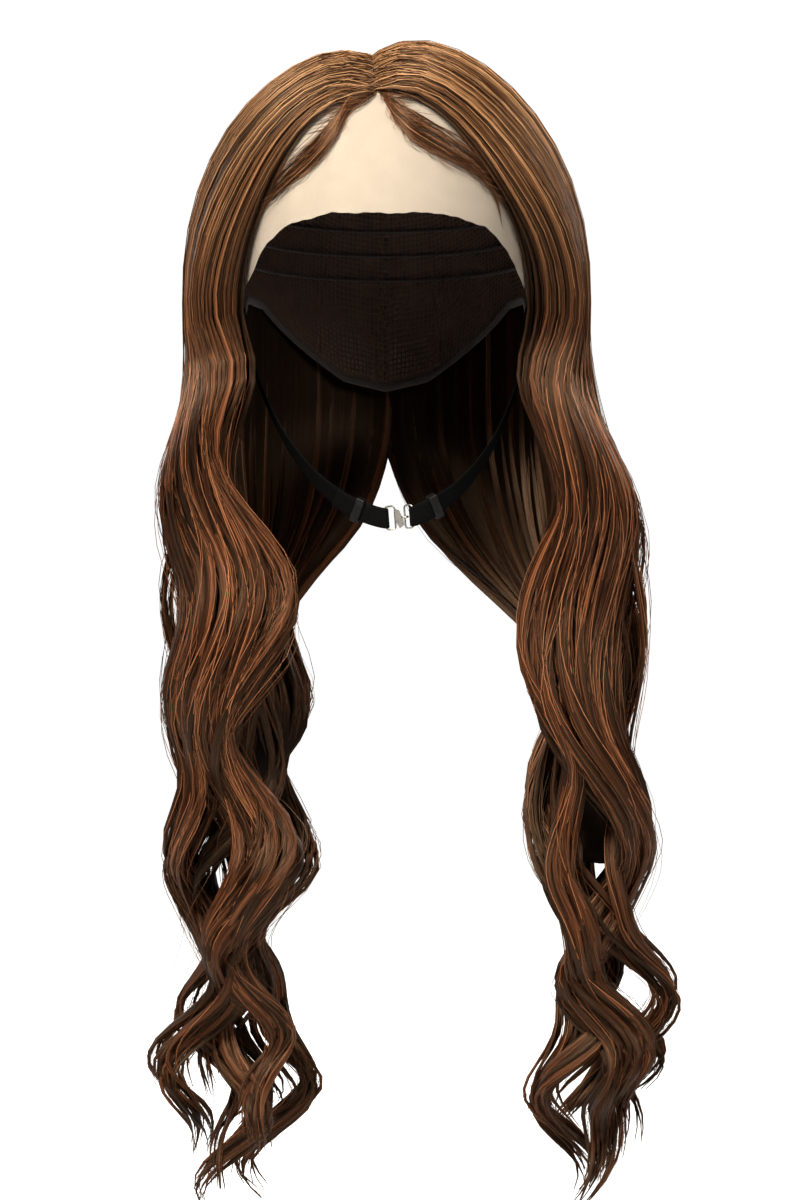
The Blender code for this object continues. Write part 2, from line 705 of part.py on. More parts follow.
def main():
    clear_scene()
    for name in FINISHES:
        make_material(name)
    wig = new_collection("lace_front_wig")
    helpers = new_collection("cutters")
    build_cap(wig)
    build_lace(wig)
    build_hair(-1, "hair_left", wig, helpers)
    build_hair(1, "hair_right", wig, helpers)
    build_strap("strap_left", -1, LEFT_TURN_BACK, wig)
    build_strap("strap_right", 1, RIGHT_TURN_BACK, wig)
    build_keeper("keeper_left", -1, 0.0145, wig, helpers)
    build_keeper("keeper_right", 1, 0.0125, wig, helpers)
    build_hardware(wig, helpers)


main()
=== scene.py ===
"""Visual model of a lace front wig with a middle parting and long waved hair.

The hair is laid in locks and single strands that follow one flow: from the parting over the cap's
dome, down the sides, and into a waved tress on each side that parts into curls at its foot. Sizes are
metres and angles are degrees, where nothing else is said.
"""

import math

import bmesh
import bpy
import numpy as np
from bpy.props import FloatProperty, FloatVectorProperty, IntProperty, PointerProperty
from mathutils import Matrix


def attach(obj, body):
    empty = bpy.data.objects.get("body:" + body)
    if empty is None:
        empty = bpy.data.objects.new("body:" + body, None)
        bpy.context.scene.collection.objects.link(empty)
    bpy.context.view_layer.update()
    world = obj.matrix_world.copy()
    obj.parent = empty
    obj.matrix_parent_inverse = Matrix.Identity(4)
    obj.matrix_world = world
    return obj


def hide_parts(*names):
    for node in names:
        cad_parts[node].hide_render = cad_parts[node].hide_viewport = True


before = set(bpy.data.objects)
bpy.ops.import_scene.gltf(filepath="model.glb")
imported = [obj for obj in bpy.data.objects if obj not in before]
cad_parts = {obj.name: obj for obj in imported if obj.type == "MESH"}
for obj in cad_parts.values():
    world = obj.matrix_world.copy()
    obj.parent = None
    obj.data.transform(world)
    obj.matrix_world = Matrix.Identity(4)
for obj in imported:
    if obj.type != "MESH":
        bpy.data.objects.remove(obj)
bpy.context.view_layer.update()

bl_info = {
    "name": "Lace Front Wig",
    "version": (1, 0, 0),
    "blender": (4, 5, 0),
    "location": "View3D > Sidebar > Wig",
    "description": "Builds a lace front wig with waved hair, its cap, lace and chin strap",
    "category": "Add Mesh",
}

# Dome that the cap is cut for: width and depth, and height over and under its widest level
HEAD_WIDTH = 0.152
HEAD_DEPTH = 0.194
CROWN_RISE = 0.102
NAPE_RISE = 0.120

# Cap and lace
CAP_WALL = 0.0012
LACE_END_AZIMUTH = 67.5

# Hair over the dome
HAIR_CLEARANCE = 0.0013
PART_OFFSET = -0.006
PART_WIDTH = 0.0030
SIDE_VOLUME = 0.0255
BACK_VOLUME = 0.0180
RELEASE_POLAR = 100.0
HAIRLINE_DROOP = -0.065

# Hanging hair
HAIR_DROP = 0.587
TRESS_REACH = 0.100
TRESS_WIDTH = 0.080
TRESS_DEPTH = 0.095
SWAY = 0.012
RINGLET_PITCH = 0.064
RINGLET_RADIUS = 0.0082
FRONT_ANGLE = 122.0
BACK_ANGLE = -150.0

# Inner body of the hair: how far it lies under the hair's face, and its least height
BODY_DEPTH = 0.0042
BODY_LEAST = 0.0002

# Fine hair: hairs on each side, and their radius
WISPS, WISP_RADIUS = 130, 0.00015
BABY_HAIRS, BABY_RADIUS = 230, 0.00012
STRAYS, STRAY_RADIUS = 80, 0.00012

# Seeds of the draws. The side, -1 or 1, is added to each.
LOCK_SEED, INNER_SEED, STRAND_SEED = 11, 21, 51
STRAY_SEED, STRAY_VALUE_SEED = 61, 63
WISP_SEED, WISP_TONE_SEED = 71, 81
BABY_SEED, BABY_TONE_SEED = 91, 83

# Lace: its size when flat. Strip under the parting: half its width
STRIP_HALF = 0.0075

# Flow map on the hair: units for each metre along it
FLOW_SCALE = 10.0

# Chin strap
STRAP_WIDTH = 0.0100
STRAP_THICK = 0.0009
STRAP_GAP = 0.0004
STRAP_DROP = 0.097
STRAP_FORWARD = 0.050
STRAP_SKEW = 0.004
STRAP_TAUTNESS = 1.35
TAB_AZIMUTH = 92.5
TAB_SPREAD = 6.0
TAB_INSET = 0.0013
LEFT_TURN_BACK = 0.029
RIGHT_TURN_BACK = 0.017
WIRE_RADIUS = 0.0005
HOOK_SPAN = 0.0135
HOOK_TURN = 2.5
FIT_GAP = 0.0003

# Edge of the cap and of the lace: azimuth from the front, polar angles from the crown, in degrees
EDGE_COLUMNS = ("azimuth", "cap_edge", "lace_edge")
EDGE_ROWS = (
    (0.0, 16.0, 84.0),
    (20.0, 23.0, 83.5),
    (40.0, 40.0, 86.0),
    (52.5, 57.0, 91.5),
    (60.0, 73.0, 96.0),
    (67.5, 97.0, 99.0),
    (75.0, 102.5, 102.5),
    (85.0, 107.0, 107.0),
    (92.5, 108.0, 108.0),
    (100.0, 104.0, 104.0),
    (107.5, 99.5, 99.5),
    (120.0, 100.0, 100.0),
    (140.0, 109.0, 109.0),
    (160.0, 118.0, 118.0),
    (180.0, 121.0, 121.0),
)

# Where hair leaves the parting and where it comes down: across runs from the front to the back
ROOT_COLUMNS = ("across", "root", "side")
ROOT_ROWS = (
    (0.00, 43.0, 66.0),
    (0.15, 31.0, 73.0),
    (0.30, 14.0, 83.0),
    (0.45, -8.0, 95.0),
    (0.60, -32.0, 112.0),
    (0.80, -37.0, 145.0),
    (1.00, -42.0, 181.5),
)

# How far the front edge of the hair is moved down, as shares of HAIRLINE_DROOP. Below 0 is up.
DROOP_COLUMNS = ("fall", "left", "right")
DROOP_ROWS = (
    (0.00, 0.00, 0.00),
    (0.10, 0.15, 0.40),
    (0.18, 0.60, 0.90),
    (0.28, 1.00, 1.00),
    (0.40, 0.90, 0.75),
    (0.52, 0.45, 0.30),
    (0.65, 0.00, 0.05),
    (0.80, 0.00, 0.40),
    (0.90, 0.10, 0.65),
    (1.00, 0.30, 0.60),
)

# Height of the hair over the cap from the parting down, as shares of SIDE_VOLUME
LIFT_COLUMNS = ("fall", "left", "right")
LIFT_ROWS = (
    (0.00, 0.08, 0.08),
    (0.05, 0.15, 0.21),
    (0.12, 0.28, 0.36),
    (0.34, 0.46, 0.51),
    (0.50, 0.63, 0.63),
    (0.65, 0.75, 0.77),
    (0.86, 0.90, 0.96),
    (1.00, 1.00, 1.06),
)

# Sections of the two tresses: drop is a share of HAIR_DROP, the others of the sizes named after them
TRESS_COLUMNS = ("drop", "left_reach", "left_width", "right_reach", "right_width", "rear", "thick", "sway")
TRESS_ROWS = (
    (0.220, 0.78, 0.66, 0.82, 0.74, -0.05, 1.00, 0.00),
    (0.269, 0.78, 0.76, 0.84, 0.82, -0.05, 1.00, 0.60),
    (0.348, 0.76, 0.88, 0.88, 0.92, -0.04, 1.00, 0.66),
    (0.437, 0.73, 0.88, 0.90, 0.88, -0.08, 0.95, 0.75),
    (0.506, 0.70, 0.82, 0.94, 0.74, -0.09, 0.90, 0.90),
    (0.585, 0.70, 0.77, 0.95, 0.58, -0.10, 0.84, 0.95),
    (0.684, 0.71, 0.60, 1.07, 0.52, -0.12, 0.74, 0.95),
    (0.753, 0.70, 0.60, 1.03, 0.50, -0.14, 0.66, 1.00),
    (0.852, 0.71, 0.62, 1.06, 0.52, -0.15, 0.58, 1.00),
    (1.040, 0.75, 0.50, 0.98, 0.42, -0.16, 0.42, 0.85),
)

# Levels where the waves of each tress cross its middle line, as shares of HAIR_DROP
LEFT_CROSSINGS = (0.223, 0.311, 0.419, 0.523, 0.647, 0.746, 0.854, 0.948, 1.041)
RIGHT_CROSSINGS = (0.223, 0.325, 0.445, 0.602, 0.750, 0.854, 0.948, 1.041)

# Curls that each tress parts into: angle round the tress, distance out, level of the tip, wave layer
# (1 swings with the front hair and -1 against it), how tightly the curl draws its hair together, and
# how far its waves run ahead
CURL_COLUMNS = ("side", "angle", "out", "end", "layer", "tight", "lag")
CURL_ROWS = (
    (-1, 62.0, 0.45, 1.000, 1.00, 0.82, 0.000),
    (-1, 20.0, 0.98, 0.955, -1.00, 0.90, 0.012),
    (-1, 8.0, 0.62, 0.985, 0.95, 0.86, -0.020),
    (-1, 158.0, 0.95, 0.975, -0.90, 0.88, -0.015),
    (-1, 118.0, 0.72, 0.945, 0.85, 0.80, 0.022),
    (-1, -70.0, 0.66, 0.930, 0.90, 0.80, -0.008),
    (-1, -150.0, 0.80, 0.995, 1.00, 0.86, 0.018),
    (-1, -25.0, 0.72, 0.905, -1.05, 0.82, -0.024),
    (-1, 100.0, 0.12, 0.880, -0.80, 0.70, 0.000),
    (1, 72.0, 0.45, 1.000, 1.00, 0.86, 0.000),
    (1, 12.0, 0.98, 0.950, -1.00, 0.90, -0.014),
    (1, 165.0, 0.98, 0.965, 1.00, 0.90, 0.020),
    (1, 125.0, 0.66, 0.935, -0.85, 0.82, -0.006),
    (1, 40.0, 0.72, 0.975, 0.95, 0.86, 0.016),
    (1, -75.0, 0.62, 0.935, -0.90, 0.82, -0.022),
    (1, -145.0, 0.70, 0.990, -1.00, 0.86, 0.010),
    (1, -30.0, 0.72, 0.905, 1.00, 0.84, 0.024),
    (1, 100.0, 0.10, 0.870, 0.80, 0.72, 0.000),
)

# Edge of the fine hair on the lace, from the parting down each side: azimuths, then polar angles
LEFT_HAIRLINE = ((-4.0, -16.5, -20.0, -29.0, -42.5, -50.0, -58.0), (44.0, 50.0, 61.0, 69.5, 75.0, 78.0, 85.5))
RIGHT_HAIRLINE = ((-2.0, 4.0, 13.0, 26.0, 38.5, 46.0, 49.0), (43.5, 55.5, 62.5, 67.5, 71.0, 76.0, 86.5))
HAIRLINE_POINTS = 7

# Stage: height of the floor and of the wall's top, the floor's reach and the radius of the curve
# between floor and wall, and the camera
FLOOR, WALL_TOP = -0.66, 4.5
FLOOR_REACH, FLOOR_CURVE = 7.0, 2.0
CAMERA_PLACE = (0.0075, -1.457, -0.277)
CAMERA_LENS, CAMERA_FILM = 85.0, 36.0

# Area lights: name, place, width, power in watts and colour, all turned to one aim
LIGHT_AIM = (0.0, 0.0, -0.2)
LIGHTS = (
    ("key", (-0.55, -1.20, 1.05), 0.42, 58.0, (1.0, 0.96, 0.90)),
    ("fill", (1.0, -1.5, 0.45), 0.8, 20.0, (1.0, 0.98, 0.96)),
    ("crown", (-0.40, -0.60, 0.85), 0.30, 17.0, (1.0, 0.94, 0.84)),
    ("rim", (0.9, 1.1, 0.4), 0.6, 9.0, (1.0, 0.97, 0.93)),
    ("rim left", (-1.0, 1.0, 0.3), 0.6, 7.0, (1.0, 0.97, 0.93)),
)

SIDES = ((-1, "left"), (1, "right"))
# Crown and Crown light are lighter colours laid over the top of the hair as a painted highlight.
HAIR_COLOURS = ("Dark", "Middle", "Light", "Crown", "Crown light")

# Points along a path, worked out closely spaced: shares of the fall over the dome, and of the drop
# below it. Locks and strands keep fewer of them.
FALLS = np.concatenate([[0.0, 0.015, 0.035], np.linspace(0.06, 1.0, 22)])
DROPS = np.concatenate([np.linspace(0.0, 0.66, 50)[1:], np.linspace(0.66, 1.0, 50)[1:]])
LOCK_POINTS = np.concatenate([np.arange(0, 25), np.arange(26, 123, 2)])
STRAND_POINTS = np.concatenate([[0, 1, 2], np.arange(4, 25, 2), np.arange(26, 123, 2)])


def setting():
    return bpy.context.scene.wig


def column(columns, rows, name, where):
    """Value of a table's column, read between its rows at a place along the first column."""
    index = columns.index(name)
    return np.interp(where, [row[0] for row in rows], [row[index] for row in rows])


def by_side(side, left, right):
    """The left value where side is below 0, and the right value elsewhere."""
    return np.where(np.asarray(side) < 0, left, right)


def side_column(side, columns, rows, where, kind=""):
    """Value of a table's left or right column. Kind is what its name has after left or right."""
    return by_side(side, *(column(columns, rows, hand + kind, where) for hand in ("left", "right")))


def smooth_step(value):
    """Eases from 0 to 1 as value goes from 0 to 1: three squares less two cubes."""
    share = np.clip(value, 0.0, 1.0)
    return share * share * (3.0 - 2.0 * share)


def eased(value, start, width):
    """Eases from 0 to 1 as value goes from start on by width."""
    return smooth_step((value - start) / width)


def dice(seed, *shape):
    """Draws of one shape from a seed: the source, a flat draw between two numbers, and a normal one."""
    drawn = np.random.default_rng(seed)
    return (drawn, lambda least, most: drawn.uniform(least, most, shape),
            lambda mean, size: drawn.normal(mean, size, shape))


def unit(vectors):
    """Vectors divided by their own length."""
    return vectors / np.maximum(np.linalg.norm(vectors, axis=-1, keepdims=True), 1e-12)


def polar_direction(azimuth, polar):
    """Unit direction from an azimuth round from the front and a polar angle down from the crown."""
    turn, tilt = np.broadcast_arrays(np.radians(azimuth), np.radians(polar))
    return np.stack([np.sin(turn) * np.sin(tilt), -np.cos(turn) * np.sin(tilt), np.cos(tilt)], axis=-1)


def head_surface(direction, lift):
    """Two half ellipsoids that meet at the widest level: half axes grown by lift, times the direction."""
    x, y, z = direction[..., 0], direction[..., 1], direction[..., 2]
    rise = np.where(z > 0.0, CROWN_RISE, NAPE_RISE)
    return np.stack([
        (HEAD_WIDTH / 2 + lift) * x,
        (HEAD_DEPTH / 2 + lift) * y,
        (rise + lift) * z - CROWN_RISE,
    ], axis=-1)


def edge(name, azimuth):
    return column(EDGE_COLUMNS, EDGE_ROWS, name, np.abs(azimuth))


def over_head(side, across, fall, lift, away=0.0):
    """Hair on the dome: an arc between two directions, weighed by sines, bent by the droop.

    Away is how far the root lies beyond the edge of the parting.
    """
    start = polar_direction(0.0, column(ROOT_COLUMNS, ROOT_ROWS, "root", across))
    start = start + 0.0 * np.asarray(away)[..., None]
    start[..., 0] = (PART_OFFSET + side * (PART_WIDTH / 2 + away)) / (HEAD_WIDTH / 2)
    start = unit(start)
    end = polar_direction(side * column(ROOT_COLUMNS, ROOT_ROWS, "side", across), RELEASE_POLAR)
    arc = np.arccos(np.sum(start * end, axis=-1))
    first = np.sin((1.0 - fall) * arc) / np.sin(arc)
    last = np.sin(fall * arc) / np.sin(arc)
    direction = first[..., None] * start + last[..., None] * end
    droop = side_column(side, DROOP_COLUMNS, DROOP_ROWS, fall)
    droop = droop * HAIRLINE_DROOP * smooth_step(1.0 - across / 0.25)
    bend = np.cross(end, start) * np.asarray(side * droop)[..., None]
    return head_surface(unit(direction + bend), lift)


def hair_height(side, across, fall):
    """Height of the hair over the cap: a share of the volume, rounded off towards the front edge.

    The share is the mean of the table's values a little before and after the place, so it has no kinks.
    """
    volume = SIDE_VOLUME + (BACK_VOLUME - SIDE_VOLUME) * eased(across, 0.5, 0.5)
    near = np.asarray(fall)[..., None] + np.linspace(-0.07, 0.07, 9)
    share = side_column(side, LIFT_COLUMNS, LIFT_ROWS, near).mean(axis=-1)
    rounded = np.sqrt(1.0 - (1.0 - np.clip((across + 0.004) / 0.14, 0.0, 1.0)) ** 2)
    return volume * share * rounded


def tress(side, name, drop):
    """A column of the tress table at a drop share. Reach and width have one column for each side."""
    if name in ("reach", "width"):
        return side_column(side, TRESS_COLUMNS, TRESS_ROWS, drop, "_" + name)
    return column(TRESS_COLUMNS, TRESS_ROWS, name, drop)


def wave_phase(side, drop):
    """Phase of the waves: it grows by half a turn from one crossing level to the next."""
    both = (np.interp(drop, levels, np.arange(len(levels))) for levels in (LEFT_CROSSINGS, RIGHT_CROSSINGS))
    return math.pi * by_side(side, *both)


def wave_shift(side, drop, layer, spread=0.0):
    """Sideways swing by the sine of the phase, and one to the rear by its cosine, as on a coil.

    Spread is the place across the tress, from -1 on its inner side to 1 outside. Hair on the inner
    side swings further, and hair outside less, so the locks fan out and draw in as they wave.
    """
    size = SWAY * tress(side, "sway", drop)
    share = np.where(spread < 0.0, 1.15, 0.25) * spread
    phase = wave_phase(side, drop)
    x = side * size * (np.abs(share) - layer * (1.0 - share) * np.sin(phase))
    y = 0.85 * layer * size * np.cos(phase)
    return np.stack(np.broadcast_arrays(x, y, 0.0), axis=-1)


def tress_place(side, angle, out, drop):
    """Point in a straight tress: an angle from its outer side towards the front, and a distance out."""
    turn = np.radians(angle)
    reach = TRESS_REACH * tress(side, "reach", drop)
    x = side * (reach + TRESS_WIDTH / 2 * tress(side, "width", drop) * out * np.cos(turn))
    y = TRESS_DEPTH * (tress(side, "rear", drop) - tress(side, "thick", drop) / 2 * out * np.sin(turn))
    return np.stack(np.broadcast_arrays(x, y, -HAIR_DROP * drop), axis=-1)


def gather_share(across, drop):
    """How far hair has gone, from 0 to 1, from where the dome lets it go to its place in the tress."""
    behind = eased(across, 0.3, 0.4)
    return smooth_step((drop - 0.234 - 0.064 * behind) / (0.19 + 0.07 * behind))


def softened(paths, times):
    """Paths with each inner point moved towards the middle of its neighbours, a number of times."""
    for _ in range(times):
        inner = 0.25 * paths[:, :-2] + 0.5 * paths[:, 1:-1] + 0.25 * paths[:, 2:]
        paths = np.concatenate([paths[:, :1], inner, paths[:, -1:]], axis=1)
    return paths


def curl_table(side):
    """Rows of the curls of one side as arrays by column name."""
    rows = np.array([row for row in CURL_ROWS if row[0] == side])
    return {name: rows[:, i] for i, name in enumerate(CURL_COLUMNS)}


def flow(side, hair, kept=STRAND_POINTS):
    """Paths of hair of one side, as points in rows of one path each.

    Each path runs over the dome by over_head, then hangs: its place goes from where the dome lets it
    go to its place in the tress, and from there towards the curl that it belongs to, by eased shares
    of its drop. The waves are added to that place, then a slow roam of its own, and a close coil
    near the ends.
    """
    hair = {name: values[:, None] for name, values in hair.items()}
    across, inner, turn = hair["across"], hair["inner"], hair["turn"]
    rise = 1.0 - (1.0 - np.clip(FALLS / 0.11, 0.0, 1.0)) ** 2
    height = hair_height(side, across, FALLS) * hair["level"]
    roots = CAP_WALL * 0.1 + rise * (HAIR_CLEARANCE + CAP_WALL * 0.9 + height)
    wander = hair["wander"] * np.sin(FALLS * 5.0 + turn)
    fanned = hair["fan"] * (1.0 - smooth_step(FALLS / 0.22))
    place = np.clip(across + wander * 0.4 + fanned, 0.0, 1.0)
    top = over_head(side, place, FALLS[None, :], roots, hair["away"])
    first = -top[:, -1, 2:3] / HAIR_DROP
    steps = DROPS[None, :]
    drop = first + (hair["end"] - first) * steps
    angle = FRONT_ANGLE + (BACK_ANGLE - FRONT_ANGLE) * across
    released = top[:, -1:, :]
    gathered = tress_place(side, angle, hair["out"], drop)
    gathered = np.where(inner[..., None] > 0.5, groove_place(side, across, drop), gathered)
    share = gather_share(across, drop)
    mine = {name: values[hair["curl"]] for name, values in curl_table(side).items()}
    lagged = drop + hair["lag"] * eased(drop, 0.24, 0.2)
    lagged = lagged + mine["lag"] * eased(drop, 0.56, 0.25)
    join = mine["tight"] * eased(drop, 0.56, 0.30)
    opened = 1.0 + 0.14 * eased(drop, 0.66, 0.14)
    centre = tress_place(side, mine["angle"], mine["out"] * opened, drop)
    drawn_in = 1.0 - 0.30 * eased(drop, 0.62, 0.2) - 0.42 * eased(steps, 0.8, 0.2)
    own = hair["loose"] * drawn_in[..., None]
    gathered = gathered + (centre + own - gathered) * join[..., None]
    near = np.where(inner > 0.5, 1.0 - 2.0 * across, hair["layer"])
    turned = eased(drop, 0.54, 0.16)
    layer = hair["swing"] * (near + (mine["layer"] * 1.35 - near) * turned)
    spread = np.where(inner > 0.5, -0.4, hair["out"] * np.cos(np.radians(angle))) * (1.0 - join)
    loose = share + (1.0 - share) * smooth_step((0.45 - across) / 0.3)
    curled = eased(drop, 0.70, 0.15)
    wave = wave_shift(side, lagged, layer, spread) * (loose * (1.0 - 0.35 * curled))[..., None]
    hung = released + (gathered - released) * share[..., None] + wave
    tip = eased(steps, 0.78, 0.22)
    roam = hair["roam"] * (eased(drop, 0.22, 0.35) + 1.6 * tip)
    hung[..., 0] += roam * np.sin(drop * 23.0 + turn)
    hung[..., 1] += roam * np.cos(drop * 19.0 + turn * 1.7)
    coil = (drop + mine["lag"] * 2.0 + hair["lag"] * 0.4) * 2 * math.pi * HAIR_DROP / RINGLET_PITCH
    coil = coil + np.radians(mine["angle"]) * 2.0
    ring = RINGLET_RADIUS * hair["swing"] * curled
    hung[..., 0] += side * ring * np.sin(coil)
    hung[..., 1] += ring * np.cos(coil)
    hung[..., 2] = -HAIR_DROP * drop
    return softened(np.concatenate([top, hung], axis=1), 4)[:, kept]


def groove(side, front, back, across, drop, inset, least, bow):
    """Point on the inner side of the tress: on a line from its front to its back edge, a little inside
    both, bent towards the tress's middle by a least share plus half a sine. The bend fades lower down."""
    chord = front + (back - front) * (inset + (1.0 - 2.0 * inset) * across)[..., None]
    depth = 1.0 - 0.85 * eased(drop, 0.486, 0.14)
    bend = depth * (least + bow * np.sin(math.pi * across))
    return chord + (tress_place(side, 0.0, 0.0, drop) - chord) * bend[..., None]


def groove_place(side, across, drop):
    """Place of an inner lock in the groove of the tress."""
    front, back = (tress_place(side, angle, 0.92, drop) for angle in (FRONT_ANGLE, BACK_ANGLE))
    return groove(side, front, back, across, drop, 0.04, 0.10, 0.55)


def outward(side, paths):
    """Directions along paths, out of the hair and across the two, at each point.

    Out is away from the dome's middle above the release level, and from the middle of the tress
    below it, with the part along the path taken out.
    """
    along = unit(np.gradient(paths, axis=1))
    drop = -paths[..., 2] / HAIR_DROP
    head = paths * np.array([1.0, 0.7, 1.0])
    head[..., 2] = np.maximum(paths[..., 2], -CROWN_RISE) + CROWN_RISE
    middle = tress_place(side, 0.0, 0.0, drop)
    away = unit(paths - middle)
    share = eased(drop, 0.22, 0.22)[..., None]
    out = unit(head) * (1.0 - share) + away * share
    out = unit(out - along * np.sum(out * along, axis=-1, keepdims=True))
    return along, out, np.cross(along, out)


def draw(side, count, seed, parents=None, inner=False):
    """Drawn values of a number of locks of one side, spread evenly from the front to the back.

    Inner locks lie on the inner side of the tress. With parents, each one takes the values of one of
    them, moved a little.
    """
    drawn, uniform, normal = dice(seed, count)
    curls = curl_table(side)
    if parents is None:
        across = ((np.arange(count) + uniform(0.0, 1.0)) / count) ** 1.12
        depth = drawn.choice([1.0, 0.82, 0.62], count, p=[0.62, 0.23, 0.15])
        # The level sets the lock's height over the cap, and through the Tone attribute it also darkens the lock
        # as painted shade: lower levels, as on the inner locks, are darker.
        level = depth - np.abs(normal(0.0, 0.03))
        if inner:
            across = (np.arange(count) + uniform(0.0, 1.0)) / count
            level = uniform(0.0, 0.10)
        out = depth + normal(0.0, 0.035)
        angle = np.radians(FRONT_ANGLE + (BACK_ANGLE - FRONT_ANGLE) * across)
        gap = (out * np.cos(angle))[:, None] - curls["out"] * np.cos(np.radians(curls["angle"]))
        side_gap = (out * np.sin(angle))[:, None] - curls["out"] * np.sin(np.radians(curls["angle"]))
        near = np.hypot(gap, side_gap) + drawn.uniform(0.0, 0.35, gap.shape)
        curl = np.argmin(near, axis=1)
        end = curls["end"][curl] * (1.0 - np.abs(normal(0.0, 0.035)))
        return {
            "across": across, "level": level, "out": out, "curl": curl, "end": end,
            "away": np.abs(normal(0.0, 0.0014)) - 0.0003,
            "fan": normal(0.0, 0.012),
            "inner": np.full(count, 1.0 if inner else 0.0), "girth": uniform(0.55, 1.35),
            "layer": np.where(across + normal(0.0, 0.07) < 0.48, 1.0, -1.0),
            "lag": normal(0.0, 0.010), "swing": normal(1.0, 0.10),
            "wander": normal(0.0, 0.010), "turn": uniform(0.0, 6.28),
            "roam": uniform(0.0004, 0.0022), "tone": uniform(0.25, 0.75),
            "loose": drawn.normal(0.0, 1.0, (count, 3)) * np.array([0.0048, 0.0052, 0.0]),
        }
    pick = np.arange(count) % len(parents["across"])
    hair = {name: values[pick].copy() for name, values in parents.items()}
    hair["lock"] = pick
    for key, mean, size in (("across", 0.0, 0.011), ("level", 0.03, 0.035), ("out", 0.03, 0.045)):
        hair[key] = hair[key] + normal(mean, size)
    hair["across"] = np.clip(hair["across"], 0.0, 1.0)
    hair["away"], hair["fan"] = uniform(-0.0046, 0.0012), normal(0.0, 0.040)
    for key, size in (("lag", 0.009), ("swing", 0.10), ("turn", 0.5)):
        hair[key] = hair[key] + normal(0.0, size)
    for key, least, most in (("roam", 0.6, 2.2), ("end", 0.965, 1.012)):
        hair[key] = hair[key] * uniform(least, most)
    hair["bound"] = np.clip(normal(0.74, 0.25), 0.0, 0.97)
    hair["tone"] = np.clip(hair["tone"] + normal(0.0, 0.42), -0.3, 1.3)
    hair["loose"] = hair["loose"] + drawn.normal(0.0, 0.0022, (count, 3)) * np.array([1.0, 1.0, 0.0])
    return hair


def cells(rows, wide, columns):
    """Row and column of each cell of a grid, and the numbers of its corners, with that many columns."""
    i, j = (part.ravel() for part in np.meshgrid(np.arange(rows - 1), np.arange(wide), indexing="ij"))
    after = (j + 1) % columns
    above, below = i * columns, (i + 1) * columns
    return i, j, np.stack([above + j, below + j, below + after, above + after], axis=1)


def skin(name, rings, around, along, tone, material):
    """Closed skins over rings of points: rings[n, i, j] is corner j of ring i of skin n.

    Neighbouring rings are joined by four-sided faces, and the first and last ring are closed. The map
    has around for its first number and along for its second, and tone is kept at each point.
    """
    count, levels, corners = rings.shape[:3]
    i, j, quads = cells(levels, corners, corners)
    ends = np.stack([np.arange(corners), (levels - 1) * corners + np.arange(corners)[::-1]])
    base = (np.arange(count) * levels * corners)[:, None, None]
    loops = np.concatenate([(quads + base).ravel(), (ends + base).ravel()])
    totals = np.concatenate([np.full(count * len(quads), 4), np.full(count * 2, corners)])
    u = np.stack([around[:, j], around[:, j], around[:, j + 1], around[:, j + 1]], axis=-1)
    v = np.stack([along[:, i], along[:, i + 1], along[:, i + 1], along[:, i]], axis=-1)
    flat = np.stack([around[:, :-1], around[:, :-1][:, ::-1]], axis=1)
    lift = np.stack([along[:, :1], along[:, -1:]], axis=1) + np.zeros(flat.shape)
    places = np.concatenate([np.stack([u, v], -1).reshape(-1, 2), np.stack([flat, lift], -1).reshape(-1, 2)])
    tones = np.broadcast_to(tone[:, :, None, :], (count, levels, corners, 4)).reshape(-1, 4)
    return put_mesh(name, rings.reshape(-1, 3), loops, totals, places, tones, material)


def put_mesh(name, points, loops, totals, places=None, tones=None, material=None):
    """Object from arrays: points, the corner list of all faces, each face's corner count, map and tone."""
    mesh = bpy.data.meshes.new(name)
    mesh.vertices.add(len(points))
    mesh.vertices.foreach_set("co", np.ascontiguousarray(points, dtype=np.float32).ravel())
    mesh.loops.add(len(loops))
    mesh.loops.foreach_set("vertex_index", np.ascontiguousarray(loops, dtype=np.int32))
    mesh.polygons.add(len(totals))
    starts = np.concatenate([[0], np.cumsum(totals)[:-1]]).astype(np.int32)
    mesh.polygons.foreach_set("loop_start", starts)
    mesh.update(calc_edges=True)
    if places is not None:
        layer = mesh.uv_layers.new(name="Flow")
        layer.data.foreach_set("uv", np.ascontiguousarray(places, dtype=np.float32).ravel())
    if tones is not None:
        kept = mesh.attributes.new("Tone", "FLOAT_COLOR", "POINT")
        kept.data.foreach_set("color", np.ascontiguousarray(tones, dtype=np.float32).ravel())
    mesh.validate()
    mesh.shade_smooth()
    if material is not None:
        mesh.materials.append(material)
    made = bpy.data.objects.new(name, mesh)
    bpy.context.scene.collection.objects.link(made)
    return made


def sheet_mesh(name, grid, around, along, material, closed=False):
    """Open surface through a grid of points, with its map. A closed grid is joined round its columns."""
    rows, columns = grid.shape[:2]
    wide = columns if closed else columns - 1
    i, j, quads = cells(rows, wide, columns)
    u = np.stack([around[j], around[j], around[j + 1], around[j + 1]], axis=-1)
    v = np.stack([along[i], along[i + 1], along[i + 1], along[i]], axis=-1)
    places = np.stack([u, v], -1).reshape(-1, 2)
    return put_mesh(name, grid.reshape(-1, 3), quads.ravel(), np.full(len(quads), 4), places, None, material)


def set_on(piece, slot, *nodes):
    """Attaches a piece to the root body and hides the nodes that it stands for. The slot is not used."""
    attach(piece, "root")
    if nodes:
        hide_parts(*nodes)
    return piece


def lengths(paths):
    """Distance gone along each path at each of its points."""
    steps = np.linalg.norm(np.diff(paths, axis=1), axis=-1)
    return np.concatenate([np.zeros((len(paths), 1)), np.cumsum(steps, axis=1)], axis=1)


def tones_of(side, hair, paths):
    """Tone values at the points of paths: the lock's own tone, how far out it lies, which the hair finish turns
    into painted shade further in, and its drop, which sets the painted crown highlight.
    """
    drop = np.clip(-paths[..., 2] / HAIR_DROP, 0.0, 1.0)
    own = np.broadcast_to(hair["tone"][:, None], drop.shape)
    out = np.broadcast_to(np.clip(hair["level"], 0.0, 1.0)[:, None], drop.shape)
    return np.stack([own, out, drop, np.ones_like(drop)], axis=-1)


